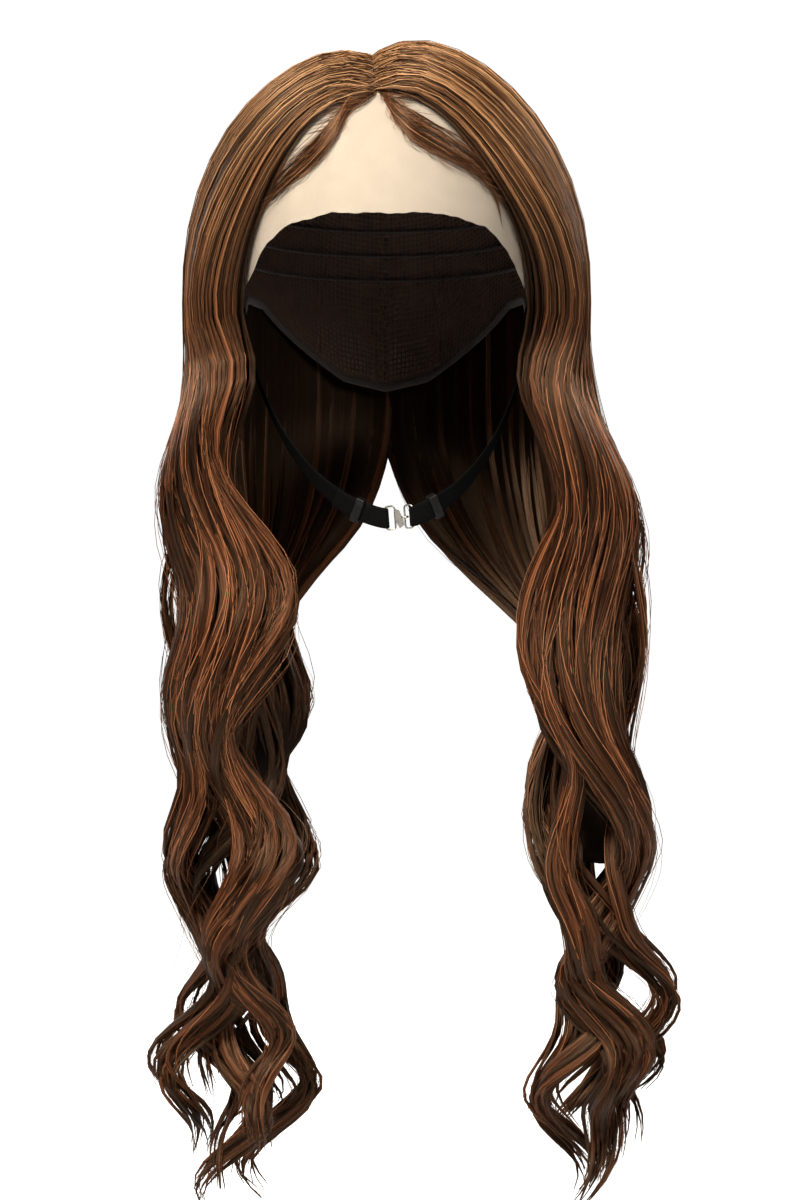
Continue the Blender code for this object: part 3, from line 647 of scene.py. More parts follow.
def oval_rings(places, across, out, half, deep, corners, first=0.0):
    """Ovals round places: half the width across by the cosine of the corner's turn from a first one,
    and half the depth out by its sine."""
    turn = np.arange(corners) * 2 * math.pi / corners + first
    return (places[..., None, :] + across[..., None, :] * (half[..., None] * np.cos(turn))[..., None]
            + out[..., None, :] * (deep[..., None] * np.sin(turn))[..., None])


def lay_locks(name, side, hair, width, thick, material):
    """Locks as flat rods: an oval section, wide across the flow and thin out of it, along each path.

    The half width grows from the root, is fullest in the tress and falls to almost nothing at the tip.
    """
    paths = flow(side, hair, LOCK_POINTS)
    along, out, across = outward(side, paths)
    gone = lengths(paths)
    share = gone / gone[:, -1:]
    grown = 0.42 + 0.58 * smooth_step(share / 0.30)
    tip = 1.0 - 0.30 * eased(share, 0.70, 0.20) - 0.62 * eased(share, 0.95, 0.05)
    half = width / 2 * hair["girth"][:, None] * grown * tip
    deep = thick / 2 * (0.5 + 0.5 * smooth_step(share / 0.25))
    deep = deep * (1.0 - 0.75 * eased(share, 0.95, 0.05))
    corners = 6
    rings = oval_rings(paths, across, out, half, deep, corners, -math.pi / 2)
    around = np.arange(corners + 1)[None, :] / corners * 14.0 + np.arange(len(paths))[:, None] * 17.3
    return skin(name, rings, around, gone * FLOW_SCALE, tones_of(side, hair, paths), material)


def lay_strands(name, side, hair, parents, radius, material):
    """Single strands as rods with three sides: free over their lock, and drawn to it towards the tip."""
    own, guide = flow(side, hair), flow(side, parents)[hair["lock"]]
    share = np.linspace(0.0, 1.0, own.shape[1])[None, :]
    free = 1.0 - hair["bound"][:, None] * eased(share, 0.44, 0.36)
    paths = guide + (own - guide) * free[..., None]
    return strand_rods(name, paths, radius, tones_of(side, hair, paths), material, side)


def strand_rods(name, paths, radius, tones, material, side=1):
    """Rods with three sides along paths, whose radius falls to a fifth over the last seventh."""
    along, out, across = outward(side, paths)
    share = np.linspace(0.0, 1.0, paths.shape[1])[None, :]
    size = radius * (1.0 - 0.8 * eased(share, 0.86, 0.14)) * np.ones((len(paths), 1))
    rings = oval_rings(paths, across, out, size, size, 3, -math.pi / 2)
    around = np.arange(4)[None, :] / 3 + np.arange(len(paths))[:, None] * 3.7
    return skin(name, rings, around, lengths(paths) * FLOW_SCALE, tones, material)


def hair_body(name, side, material):
    """Inner body of one half of the hair, darkened as painted shade: a closed skin a little inside the hair's
    outer face.

    Over the dome it lies between the cap and the locks. Below, its outer face follows the tress at a
    share of its width, and its inner face is a groove that closes further down.
    """
    outer, inner = np.linspace(0.07, 1.0, 40)[None, :], np.linspace(1.0, 0.07, 16)[None, :]
    inside = CAP_WALL + HAIR_CLEARANCE

    def faces(falls):
        height = np.maximum(hair_height(side, outer, falls) - BODY_DEPTH, BODY_LEAST)
        return (over_head(side, outer, falls, inside + height),
                over_head(side, inner, falls, inside + 0.0 * falls * inner))

    top = np.concatenate(faces(np.linspace(0.06, 1.0, 14)[:, None]), axis=1)
    released, released_inside = faces(np.ones((1, 1)))
    drop = np.linspace(0.245, 0.700, 40)[:, None]
    ending = 1.0 - 0.70 * eased(drop, 0.56, 0.14)
    angle = FRONT_ANGLE + (BACK_ANGLE - FRONT_ANGLE) * outer
    full = 0.76 * ending
    gathered = tress_place(side, angle, full, drop)
    share = gather_share(outer, drop)
    layer = ending * (1.0 - 2.0 * eased(outer, 0.38, 0.20))
    loose = share + (1.0 - share) * smooth_step((0.45 - outer) / 0.3)
    wave = wave_shift(side, drop, layer, full * np.cos(np.radians(angle))) * loose[..., None]
    face = released + (gathered - released) * share[..., None] + wave
    face[..., 2] = -HAIR_DROP * drop
    front = tress_place(side, FRONT_ANGLE, full, drop) + wave_shift(side, drop, ending, full * -0.53)
    back = tress_place(side, BACK_ANGLE, full, drop) + wave_shift(side, drop, -ending, full * -0.87)
    loose = smooth_step((0.45 - inner) / 0.3)
    swung = released_inside + wave_shift(side, drop, ending) * loose[..., None]
    hollow = groove(side, front, back, inner, drop, 0.05, 0.20, 0.60)
    under = swung + (hollow - swung) * gather_share(inner, drop)[..., None]
    under[..., 2] = -HAIR_DROP * drop
    rings = np.concatenate([top, np.concatenate([face, under], axis=1)], axis=0)[None]
    if side > 0:
        rings = rings[:, :, ::-1]
    corners, levels = rings.shape[2], rings.shape[1]
    around = np.arange(corners + 1)[None, :] * 5.0
    along = lengths(rings[:, :, 10]) * FLOW_SCALE
    # Tone of the body: own tone 0.35, depth 0.25, which the hair finish turns into strong painted shade, and drop
    # 0.5.
    tone = np.zeros((1, levels, 4)) + np.array([0.35, 0.25, 0.5, 1.0])
    return skin(name, rings, around, along, tone, material)


def hairline(side, place):
    """Azimuth and polar angle of one side's hairline at a place counted in its points."""
    line = LEFT_HAIRLINE if side < 0 else RIGHT_HAIRLINE
    return [np.interp(place, np.arange(HAIRLINE_POINTS), angles) for angles in line]


def wisp_paths(side, count, seed):
    """Fine hair over the lace: paths from the front of the parting along the hairline of one side.

    A path is a hairline read between its points, lifted off the lace a little, and pushed up or down
    from it by a drawn amount that opens in the middle and closes at both ends.
    """
    _, uniform, normal = dice(seed, count, 1)
    share = np.linspace(0.0, 1.0, 22)[None, :]
    last = uniform(0.45, 1.0)
    first = uniform(0.0, 0.12)
    azimuth, polar = hairline(side, (first + (last - first) * share) * (HAIRLINE_POINTS - 1))
    push = np.where(uniform(0.0, 1.0) < 0.40, normal(0.0, 1.1), -uniform(0.0, 9.0))
    push = push * np.sin(math.pi * np.clip(share * 0.9 + 0.05, 0.0, 1.0)) ** 0.7
    sway = uniform(0.3, 1.0) * np.sin(share * uniform(5.0, 10.0) + uniform(0.0, 6.28))
    start = uniform(-4.0, 1.0) * (1.0 - smooth_step(share / 0.25))
    lift = 0.0012 + 0.0030 * np.sin(math.pi * share) * uniform(0.3, 1.0)
    direction = polar_direction(azimuth + sway * 0.7, polar + push + sway * 0.6 + start)
    return softened(head_surface(direction, lift), 6)


def baby_paths(side, count, seed):
    """Short fine hair from the hairline: from a root on the line, down over the lace and out to the side.

    The way from the root is a straight fall in polar angle plus a sideways sweep by the square of the
    share gone, both over a drawn length, with the tip lifted a little.
    """
    _, uniform, normal = dice(seed, count, 1)
    azimuth, polar = hairline(side, uniform(0.0, 1.0) ** 1.7 * (HAIRLINE_POINTS - 2))
    polar = polar - uniform(0.0, 3.0)
    share = np.linspace(0.0, 1.0, 12)[None, :]
    size = uniform(3.0, 11.0)
    sweep = side * size * uniform(0.5, 2.2) * share ** 2
    sweep = sweep + normal(0.0, 3.0) * share
    lift = 0.0011 + 0.0035 * share * uniform(0.0, 1.0)
    fallen = polar + size * share * (1.0 - 0.35 * share)
    return head_surface(polar_direction(azimuth + sweep, fallen), lift)


# Materials

def new_group(name, inputs, outputs):
    """Empty shader node group with its sockets, given as name, kind and default value."""
    tree = bpy.data.node_groups.new(name, "ShaderNodeTree")
    for label, kind, value in inputs:
        socket = tree.interface.new_socket(name=label, in_out="INPUT", socket_type="NodeSocket" + kind)
        if value is not None:
            socket.default_value = value
    for label, kind in outputs:
        tree.interface.new_socket(name=label, in_out="OUTPUT", socket_type="NodeSocket" + kind)
    return tree, tree.nodes.new("NodeGroupInput").outputs, tree.nodes.new("NodeGroupOutput")


def feed(tree, socket, value):
    """Links a socket to another one, or sets it to a value."""
    if isinstance(value, bpy.types.NodeSocket):
        tree.links.new(value, socket)
    elif value is not None:
        socket.default_value = value


def fill(tree, node, **values):
    """Feeds inputs of a node by label, with _ written for a space."""
    for label, value in values.items():
        feed(tree, node.inputs[label.replace("_", " ")], value)
    return node


def new_node(tree, kind, **values):
    return fill(tree, tree.nodes.new("ShaderNode" + kind), **values)


def maths(tree, kind, *values):
    """Maths node with its inputs linked or set."""
    made = new_node(tree, "Math")
    made.operation = kind
    for socket, value in zip(made.inputs, values):
        feed(tree, socket, value)
    return made.outputs[0]


def blended(tree, share, first, second, kind="MIX"):
    """Colour between two others by a share."""
    made = new_node(tree, "Mix")
    made.data_type, made.blend_type = "RGBA", kind
    for label, value in (("Factor", share), (6, first), (7, second)):
        feed(tree, made.inputs[label], value)
    return made.outputs[2]


def noise(tree, vector, scale, detail=2.0, roughness=0.5):
    return new_node(tree, "TexNoise", Vector=vector, Scale=scale, Detail=detail, Roughness=roughness).outputs[0]


def remap(tree, value, low, high, to_low=0.0, to_high=1.0, smooth=True):
    """Value moved from one range to another, eased at both ends if smooth."""
    made = new_node(tree, "MapRange")
    made.interpolation_type = "SMOOTHSTEP" if smooth else "LINEAR"
    for socket, number in zip(made.inputs, (value, low, high, to_low, to_high)):
        feed(tree, socket, number)
    return made.outputs[0]


def split(tree, vector):
    return new_node(tree, "SeparateXYZ", Vector=vector).outputs


def stretched(tree, vector, across, along):
    """The flow map with its first number times across and its second times along."""
    first, second, _ = split(tree, vector)
    return new_node(tree, "CombineXYZ", X=maths(tree, "MULTIPLY", first, across),
                    Y=maths(tree, "MULTIPLY", second, along)).outputs[0]


def tinted(tree, value, colour=None):
    """Colour whose parts are a value, times the parts of a colour where one is given."""
    made = new_node(tree, "CombineColor")
    for i, socket in enumerate(made.inputs):
        feed(tree, socket, value if colour is None else maths(tree, "MULTIPLY", value, colour[i]))
    return made.outputs[0]


def flow_map(tree):
    made = new_node(tree, "UVMap")
    made.uv_map = "Flow"
    return made.outputs[0]


def object_places(tree):
    return new_node(tree, "TexCoord").outputs["Object"]


def group_in(tree, name, **values):
    """Outputs of a node group, with its inputs fed."""
    made = new_node(tree, "Group")
    made.node_tree = bpy.data.node_groups[name]
    return fill(tree, made, **values).outputs


def new_material(name):
    made = bpy.data.materials.new(name)
    made.use_nodes = True
    return made.node_tree, made.node_tree.nodes["Principled BSDF"]


def finish(name):
    return bpy.data.materials[name]


def bump(tree, height, distance, shader):
    """Gives a shader a relief by a height, over a distance in metres."""
    relief = new_node(tree, "Bump", Height=height, Distance=distance, Strength=1.0)
    feed(tree, shader.inputs["Normal"], relief.outputs[0])


def hair_streaks():
    """Streaks along the hair: stretched noise at two scales picks between three colours.

    The lock's own tone shifts the pick, its depth darkens it as painted shade on hair that lies further in, and
    hair near the crown turns to lighter colours as a painted highlight.
    """
    tree, given, out = new_group("Hair streaks", (
        ("Flow", "Vector", None), ("Tone", "Color", None), ("Across", "Float", 2.0), ("Along", "Float", 1.0),
        ("Bias", "Float", 0.0), *((label, "Color", None) for label in HAIR_COLOURS),
    ), (("Color", "Color"), ("Height", "Float"), ("Roughness", "Float")))
    line = stretched(tree, given["Flow"], given["Across"], given["Along"])
    fine = noise(tree, line, 1.0, 4.0, 0.72)
    broad = noise(tree, line, 0.30)
    own, depth, drop = new_node(tree, "SeparateColor", Color=given["Tone"]).outputs
    mixed = maths(tree, "ADD", maths(tree, "MULTIPLY", fine, 0.68), maths(tree, "MULTIPLY", broad, 0.32))
    pick = maths(tree, "MULTIPLY_ADD", maths(tree, "SUBTRACT", own, 0.5), 0.22, mixed)
    pick = maths(tree, "ADD", pick, given["Bias"])
    # Painted highlight on the crown: near the top, where the drop share is small, the middle and light colours
    # turn to the lighter Crown and Crown light colours.
    painted_crown_highlight = remap(tree, drop, 0.01, 0.30, 1.0, 0.0)
    middle = blended(tree, painted_crown_highlight, given["Middle"], given["Crown"])
    light = blended(tree, painted_crown_highlight, given["Light"], given["Crown light"])
    # Dark streaks: partly darker hair and partly painted shade in the gaps between strands.
    colour = blended(tree, remap(tree, pick, 0.43, 0.55), given["Dark"], middle)
    colour = blended(tree, remap(tree, pick, 0.52, 0.66), colour, light)
    # Painted shade: a low depth, for hair lying further in, darkens the colour down to 0.3 of itself.
    shade = tinted(tree, remap(tree, depth, 0.2, 1.0, 0.30, 1.0, False))
    fill(tree, out, Color=blended(tree, 1.0, colour, shade, "MULTIPLY"), Height=mixed,
         Roughness=remap(tree, fine, 0.3, 0.7, 0.56, 0.38))


def hair_material(name, across, along, bias, relief, shine):
    """Hair finish: streaks in colour, relief and gloss, with a highlight drawn out across the flow."""
    tree, shader = new_material(name)
    tone = new_node(tree, "Attribute")
    tone.attribute_name = "Tone"
    colours = {label: (*getattr(setting(), "hair_" + label.lower().replace(" ", "_")), 1.0)
               for label in HAIR_COLOURS}
    streaks = group_in(tree, "Hair streaks", Flow=flow_map(tree), Tone=tone.outputs["Color"],
                       Across=across, Along=along, Bias=bias, **colours)
    tangent = new_node(tree, "Tangent")
    tangent.direction_type = "UV_MAP"
    tangent.uv_map = "Flow"
    fill(tree, shader, Base_Color=streaks["Color"], Roughness=streaks["Roughness"],
         Specular_IOR_Level=shine, Specular_Tint=(1.0, 0.60, 0.35, 1.0), Anisotropic=0.85,
         Tangent=tangent.outputs[0])
    bump(tree, streaks["Height"], relief, shader)


def net_group():
    """Net of holes on the flow map: the distance to the nearest thread's middle against a limit."""
    tree, given, out = new_group("Fine net", (
        ("Flow", "Vector", None), ("Holes", "Float", 900.0), ("Open", "Float", 0.36),
    ), (("Thread", "Float"),))
    web = new_node(tree, "TexVoronoi")
    web.voronoi_dimensions = "2D"
    web.feature = "DISTANCE_TO_EDGE"
    fill(tree, web, Randomness=0.16, Vector=given["Flow"], Scale=given["Holes"])
    far = maths(tree, "SUBTRACT", web.outputs["Distance"], given["Open"])
    fill(tree, out, Thread=remap(tree, far, -0.10, 0.06, 1.0, 0.0))


def net_material(name, colour, holes, opened, thin, dense):
    """Net finish: threads of the colour with see-through holes, thin holes at the given density."""
    tree, shader = new_material(name)
    thread = group_in(tree, "Fine net", Flow=flow_map(tree), Holes=holes, Open=opened)["Thread"]
    shade = remap(tree, noise(tree, flow_map(tree), 90.0, 3.0), 0.3, 0.7, 0.97, 1.02)
    fill(tree, shader, Base_Color=tinted(tree, shade, colour), Roughness=0.75, Specular_IOR_Level=0.3,
         Alpha=remap(tree, thread, 0.0, 1.0, thin, dense, False))
    bump(tree, thread, 0.0002, shader)


def metal_material():
    """Nickel wire: small dull spots and a fine grain over a bright grey metal."""
    tree, shader = new_material("nickel")
    place = object_places(tree)
    spots = noise(tree, place, 260.0, 3.0)
    colour = blended(tree, remap(tree, spots, 0.52, 0.66), (0.34, 0.32, 0.29, 1.0), (0.16, 0.15, 0.13, 1.0))
    fill(tree, shader, Base_Color=colour, Metallic=1.0, Roughness=remap(tree, spots, 0.3, 0.7, 0.20, 0.42))
    bump(tree, noise(tree, place, 900.0), 0.00003, shader)


def plastic_material():
    """Black moulded plastic with a fine grain."""
    tree, shader = new_material("black plastic")
    place = object_places(tree)
    grain = noise(tree, place, 2200.0, 3.0)
    worn = remap(tree, noise(tree, place, 300.0), 0.5, 0.7)
    colour = blended(tree, worn, (0.002, 0.002, 0.0022, 1.0), (0.007, 0.0068, 0.0066, 1.0))
    fill(tree, shader, Base_Color=colour, Roughness=remap(tree, grain, 0.3, 0.7, 0.32, 0.5),
         Specular_IOR_Level=0.15)
    bump(tree, grain, 0.00004, shader)


def elastic_material():
    """Black ribbed elastic: ribs across the strap and a fine knit between them, on the flow map."""
    tree, shader = new_material("black elastic")
    place = flow_map(tree)
    across, along, _ = split(tree, place)
    ribs, cords = (maths(tree, "SINE", maths(tree, "MULTIPLY", part, 2 * math.pi / pitch))
                   for part, pitch in ((along, 0.0009), (across, 0.0012)))
    height = maths(tree, "MULTIPLY_ADD", maths(tree, "ADD", ribs, cords), 0.5, noise(tree, place, 2600.0))
    # Painted shade and light: the colour is darker in the grooves and lighter on the ribs, following the relief's
    # height.
    lit = remap(tree, height, -0.4, 1.6)
    colour = blended(tree, lit, (0.0006, 0.0006, 0.0006, 1.0), (0.0034, 0.0033, 0.0034, 1.0))
    fill(tree, shader, Base_Color=colour, Roughness=0.8, Specular_IOR_Level=0.04)
    bump(tree, height, 0.00012, shader)


def cloth_material(name, colour, rows, relief):
    """Fine woven or knitted cloth on the flow map: crossed sines with a little noise."""
    tree, shader = new_material(name)
    place = flow_map(tree)
    warp, weft = (maths(tree, "SINE", maths(tree, "MULTIPLY", part, rows)) for part in split(tree, place)[:2])
    height = maths(tree, "ADD", maths(tree, "MULTIPLY", warp, weft), noise(tree, place, rows * 0.4))
    # Painted shade: the low parts of the weave are darkened to 0.45 of the colour.
    dark = tuple(part * 0.45 for part in colour)
    mixed = blended(tree, remap(tree, height, -0.6, 1.4), (*dark, 1.0), (*colour, 1.0))
    fill(tree, shader, Base_Color=mixed, Roughness=0.85, Sheen_Weight=0.1)
    bump(tree, height, relief, shader)


# Chin strap, laid on the same line as its solid

def strap_line(turn):
    """Middle line of the chin strap: x goes by the sine of the turn, and y and z by its cosine's power."""
    angle = np.radians(turn)
    top = head_surface(polar_direction(TAB_AZIMUTH, edge("cap_edge", TAB_AZIMUTH)), -FIT_GAP)
    x = (top[0] - STRAP_THICK / 2) * np.sin(angle) + STRAP_SKEW * np.cos(angle)
    gone = np.maximum(0.0, np.cos(angle)) ** STRAP_TAUTNESS
    return np.stack(np.broadcast_arrays(x, top[1] - STRAP_FORWARD * gone, top[2] - STRAP_DROP * gone), axis=-1)


def strap_frame(turn):
    """Directions of the strap at places: along it, across its width, and out of its outer face."""
    turn = np.asarray(turn, dtype=float)
    along = unit(strap_line(turn + 0.5) - strap_line(turn - 0.5))
    flat = np.array([0.0, -STRAP_DROP, STRAP_FORWARD]) / math.hypot(STRAP_DROP, STRAP_FORWARD)
    upright = (0.85 * smooth_step(1.0 - np.abs(turn) / 70.0))[..., None]
    wide = flat * (1.0 - upright) + np.array([0.0, 0.0, 1.0]) * upright
    wide = unit(wide - along * np.sum(along * wide, axis=-1, keepdims=True))
    out = np.cross(along, wide)
    centre = (strap_line(-90.0) + strap_line(90.0)) / 2
    sign = np.where(np.sum(out * (strap_line(turn) - centre), axis=-1) > 0, 1.0, -1.0)
    return along, wide, out * sign[..., None]


def turn_at(start, distance):
    """Turn that lies a distance along the strap's line from the turn start."""
    turns = start + np.linspace(0.0, 40.0, 801) * (1 if distance > 0 else -1)
    gone = lengths(strap_line(turns)[None])[0]
    return float(np.interp(abs(distance), gone, turns))


def strap_end(side):
    """Middle, width, outward and inward directions of the bar that a strap's end goes round."""
    along, wide, out = strap_frame(HOOK_TURN)
    wide = np.cross(out, along)
    reach = HOOK_SPAN / 2
    ends = (strap_line(turn_at(HOOK_TURN, -reach)) + strap_line(turn_at(HOOK_TURN, reach))) / 2
    place = strap_line(HOOK_TURN) + out * np.dot(ends - strap_line(HOOK_TURN), out)
    return place + along * side * reach, wide, out, -side * along


def strap_rows(side, turn_back):
    """Middle and width direction along a strap: from its tab to the bar, round it and back on itself."""
    bar_place, bar_wide, bar_out, towards = strap_end(side)
    near = turn_at(HOOK_TURN, side * HOOK_SPAN / 2)
    turns = np.linspace(side * 90.0, near, 90)
    gone = lengths(strap_line(turns)[None])[0]
    distance = gone[-1] - gone
    shift = bar_place - strap_line(near)
    loop = WIRE_RADIUS + FIT_GAP + STRAP_THICK / 2
    rest = (STRAP_THICK + STRAP_GAP) / 2

    def layer(turn, far, height):
        _, wide, out = strap_frame(turn)
        close = smooth_step(1.0 - far / 0.010)[:, None]
        turned = unit(out * (1.0 - close) + bar_out * close)
        sign = np.sign(np.sum(wide * bar_wide, axis=-1, keepdims=True))
        wide = unit(wide * sign * (1.0 - close) + bar_wide * close)
        spread = rest + (loop - rest) * smooth_step(1.0 - far / 0.006)
        return strap_line(turn) + shift * close + turned * (spread * height)[:, None], wide

    doubled = smooth_step((turn_back + 0.012 - distance) / 0.012)
    first, first_wide = layer(turns, distance, -doubled)
    tab = polar_direction(side * TAB_AZIMUTH, edge("cap_edge", TAB_AZIMUTH) - TAB_SPREAD)
    start = head_surface(tab, -TAB_INSET - STRAP_THICK / 2)
    angles = np.linspace(0.0, math.pi, 13)[1:-1, None]
    bend = bar_place + (towards * np.sin(angles) - bar_out * np.cos(angles)) * loop
    back = distance <= turn_back
    second, second_wide = layer(turns[back][::-1], distance[back][::-1], np.ones(back.sum()))
    places = np.concatenate([start[None], first, bend, second])
    wides = np.concatenate([first_wide[:1], first_wide, np.repeat(bar_wide[None], len(bend), 0), second_wide])
    return places, wides


def lay_strap(name, side, turn_back, material):
    """Strap as a flat band with rounded edges: an oval-ended section along the strap's rows."""
    places, wides = strap_rows(side, turn_back)
    along = unit(np.gradient(places, axis=0))
    wides = unit(wides - along * np.sum(wides * along, axis=-1, keepdims=True))
    face = np.cross(along, wides)
    half, thin = STRAP_WIDTH / 2, STRAP_THICK / 2
    xs = np.array([-1.0, -0.94, -0.8, -0.4, 0.0, 0.4, 0.8, 0.94, 1.0, 0.94, 0.8, 0.4, 0.0, -0.4, -0.8, -0.94])
    ys = np.array([0.0, 0.75, 1.0, 1.0, 1.0, 1.0, 1.0, 0.75, 0.0, -0.75, -1.0, -1.0, -1.0, -1.0, -1.0, -0.75])
    rings = (places[:, None] + wides[:, None] * (xs * half)[:, None] + face[:, None] * (ys * thin)[:, None])[None]
    gone = lengths(places[None])
    around = np.append(xs, xs[0] - 0.06)[None] * half
    tone = np.ones((1, len(places), 4))
    return skin(name, rings, around, gone, tone, material)


# Operators

def length_setting(name, description, default, least, most):
    return FloatProperty(name=name, description=description, default=default, min=least, max=most,
                         subtype="DISTANCE", unit="LENGTH")


def colour_setting(name, description, default):
    return FloatVectorProperty(name=name, description=description, default=default, size=3, subtype="COLOR")


class WigSettings(bpy.types.PropertyGroup):
    """Sizes and colours of the wig that a user would change."""

    lock_width: length_setting("Lock width", "Width of a lock at its fullest", 0.0054, 0.001, 0.02)
    lock_thickness: length_setting("Lock thickness", "Thickness of a lock at its fullest", 0.0017, 0.0005, 0.01)
    lock_count: IntProperty(name="Locks", description="Locks on each side", default=128, min=20, max=240)
    strand_radius: length_setting("Strand radius", "Radius of a single strand", 0.00020, 0.00005, 0.001)
    strand_count: IntProperty(name="Strands", description="Single strands on each side",
                              default=660, min=100, max=3000)
    # The dark streaks are partly darker hair and partly painted shade in the gaps between strands.
    hair_dark: colour_setting("Hair, dark", "Colour in the dark streaks", (0.0034, 0.0011, 0.0006))
    hair_middle: colour_setting("Hair, middle", "Main colour of the hair", (0.066, 0.0188, 0.0066))
    hair_light: colour_setting("Hair, light", "Colour in the light streaks", (0.285, 0.104, 0.042))
    # The crown colours are lighter than the rest as a painted highlight on the top of the hair.
    hair_crown: colour_setting("Hair, crown", "Main colour of the hair at the crown", (0.150, 0.060, 0.0215))
    hair_crown_light: colour_setting("Hair, crown light", "Light streaks at the crown", (0.52, 0.285, 0.130))
    lace_colour: colour_setting("Lace", "Colour of the lace thread", (0.60, 0.50, 0.39))
    cap_colour: colour_setting("Cap", "Colour of the cap's net", (0.040, 0.020, 0.012))


class WIG_OT_materials(bpy.types.Operator):
    """Make the finishes of hair, lace, net, cloth, elastic and metal"""

    bl_idname = "wig.materials"
    bl_label = "Finishes"

    def execute(self, context):
        wig = setting()
        hair_streaks()
        net_group()
        hair_material("hair locks", 2.6, 0.6, -0.03, 0.0005, 0.32)
        hair_material("hair strands", 2.0, 1.2, 0.02, 0.00003, 0.60)
        # The body's bias of -0.08 gives more dark streaks: painted shade inside the hair.
        hair_material("hair body", 1.3, 0.4, -0.08, 0.0006, 0.15)
        net_material("lace net", wig.lace_colour, 2200.0, 0.16, 0.42, 0.95)
        net_material("cap net", wig.cap_colour, 420.0, 0.13, 0.80, 1.0)
        cloth_material("part silk", (0.20, 0.135, 0.088), 9000.0, 0.00003)
        cloth_material("cap binding", (0.020, 0.012, 0.009), 5200.0, 0.0001)
        elastic_material()
        metal_material()
        plastic_material()
        return {"FINISHED"}


class WIG_OT_hair(bpy.types.Operator):
    """Lay the hair: its inner body, the locks and the single strands of both sides"""

    bl_idname = "wig.hair"
    bl_label = "Hair"

    def execute(self, context):
        wig = setting()
        for side, name in SIDES:
            set_on(hair_body("hair_body_" + name, side, finish("hair body")), "hair", "hair_" + name)
            outer = draw(side, wig.lock_count, LOCK_SEED + side)
            inner = draw(side, wig.lock_count // 5, INNER_SEED + side, inner=True)
            hair = {key: np.concatenate([outer[key], inner[key]]) for key in outer}
            set_on(lay_locks("hair_locks_" + name, side, hair, wig.lock_width, wig.lock_thickness,
                             finish("hair locks")), "hair")
            for first, label in enumerate(("even", "odd")):
                parents = {key: hair[key][first::2] for key in hair}
                single = draw(side, wig.strand_count // 2, STRAND_SEED + side + first, parents)
                set_on(lay_strands(f"hair_strands_{name}_{label}", side, single, parents,
                                   wig.strand_radius, finish("hair strands")), "hair")
        return {"FINISHED"}


class WIG_OT_fine_hair(bpy.types.Operator):
    """Lay the fine hair of the hairline and the flyaway hairs"""

    bl_idname = "wig.fine_hair"
    bl_label = "Fine hair"

    def execute(self, context):
        strands = finish("hair strands")
        for side, name in SIDES:
            for label, paths, seed, radius in (
                    ("wisps", wisp_paths(side, WISPS, WISP_SEED + side), WISP_TONE_SEED, WISP_RADIUS),
                    ("baby_hair", baby_paths(side, BABY_HAIRS, BABY_SEED + side), BABY_TONE_SEED, BABY_RADIUS)):
                drawn = np.random.default_rng(seed + side)
                tones = np.ones((*paths.shape[:2], 4))
                tones[..., 0] = drawn.uniform(-0.1, 0.8, (len(paths), 1))
                # A drop share of 0.2 gives these hairs part of the painted crown highlight.
                tones[..., 2] = 0.2
                set_on(strand_rods(f"{label}_{name}", paths, radius, tones, strands), "hair")
            stray = draw(side, STRAYS, STRAY_SEED + side)
            drawn = np.random.default_rng(STRAY_VALUE_SEED + side)
            for key, least, most in (("out", 0.90, 1.00), ("level", 1.0, 1.06), ("roam", 0.0015, 0.0036),
                                     ("swing", 0.75, 1.20), ("lag", -0.03, 0.03)):
                stray[key] = drawn.uniform(least, most, STRAYS)
            paths = flow(side, stray)
            set_on(strand_rods("flyaways_" + name, paths, STRAY_RADIUS, tones_of(side, stray, paths), strands,
                               side), "hair")
        return {"FINISHED"}


class WIG_OT_cap(bpy.types.Operator):
    """Make the cap: its net, its binding and rows of weft, the lace front and the parting"""

    bl_idname = "wig.cap"
    bl_label = "Cap and lace"

    def execute(self, context):
        azimuth = np.arange(-180.0, 180.0, 2.5)[None, :]
        ring = np.linspace(0.03, 1.0, 34)[:, None]
        polar = edge("cap_edge", azimuth) * ring
        dome = head_surface(polar_direction(azimuth, polar), CAP_WALL * 0.5)
        crown = head_surface(polar_direction(azimuth, polar[:1] * 0.0), CAP_WALL * 0.5)
        grid = np.concatenate([crown, dome])
        around = np.radians(np.arange(-180.0, 181.0, 2.5)) * HEAD_WIDTH / 2
        along = np.concatenate([[0.0], ring[:, 0]]) * 0.19
        cap = merged(sheet_mesh("cap_net", grid, around, along, finish("cap net"), closed=True))
        set_on(cap, "cap", "wig_cap")
        set_on(edge_binding("cap_binding", finish("cap binding")), "cap")
        set_on(weft_rows("cap_wefts", finish("cap binding")), "cap")
        azimuth = np.linspace(-LACE_END_AZIMUTH, LACE_END_AZIMUTH, 145)[None, :]
        top = edge("cap_edge", azimuth) - 0.5
        scallop = 0.10 * np.sin(np.radians(azimuth) * 61.0) + 0.16 * np.sin(np.radians(azimuth) * 23.0)
        low = edge("lace_edge", azimuth) + scallop
        share = np.linspace(0.0, 1.0, 46)[:, None]
        grid = head_surface(polar_direction(azimuth, top + (low - top) * share), 0.0005)
        around = np.radians(azimuth[0]) * HEAD_WIDTH / 2
        along = share[:, 0] * 0.11
        lace = set_on(sheet_mesh("lace_net", grid, around, along, finish("lace net")), "lace", "lace_front")
        set_on(part_strip(finish("part silk")), "lace")
        return {"FINISHED"}


def edge_binding(name, material):
    """Rolled tape round the edge of the cap: an oval section carried along the edge and closed on itself."""
    azimuth = np.arange(-180.0, 180.0, 2.0)[None, :]
    turn = np.linspace(0.0, 2 * math.pi, 11)[:, None]
    polar = edge("cap_edge", azimuth) - 1.2 + 1.1 * np.cos(turn)
    grid = head_surface(polar_direction(azimuth, polar), CAP_WALL * 0.5 + 0.0009 * np.sin(turn))
    around = np.radians(np.arange(-180.0, 181.0, 2.0)) * HEAD_WIDTH / 2
    return merged(sheet_mesh(name, grid, around, turn[:, 0] * 0.0013, material, closed=True))


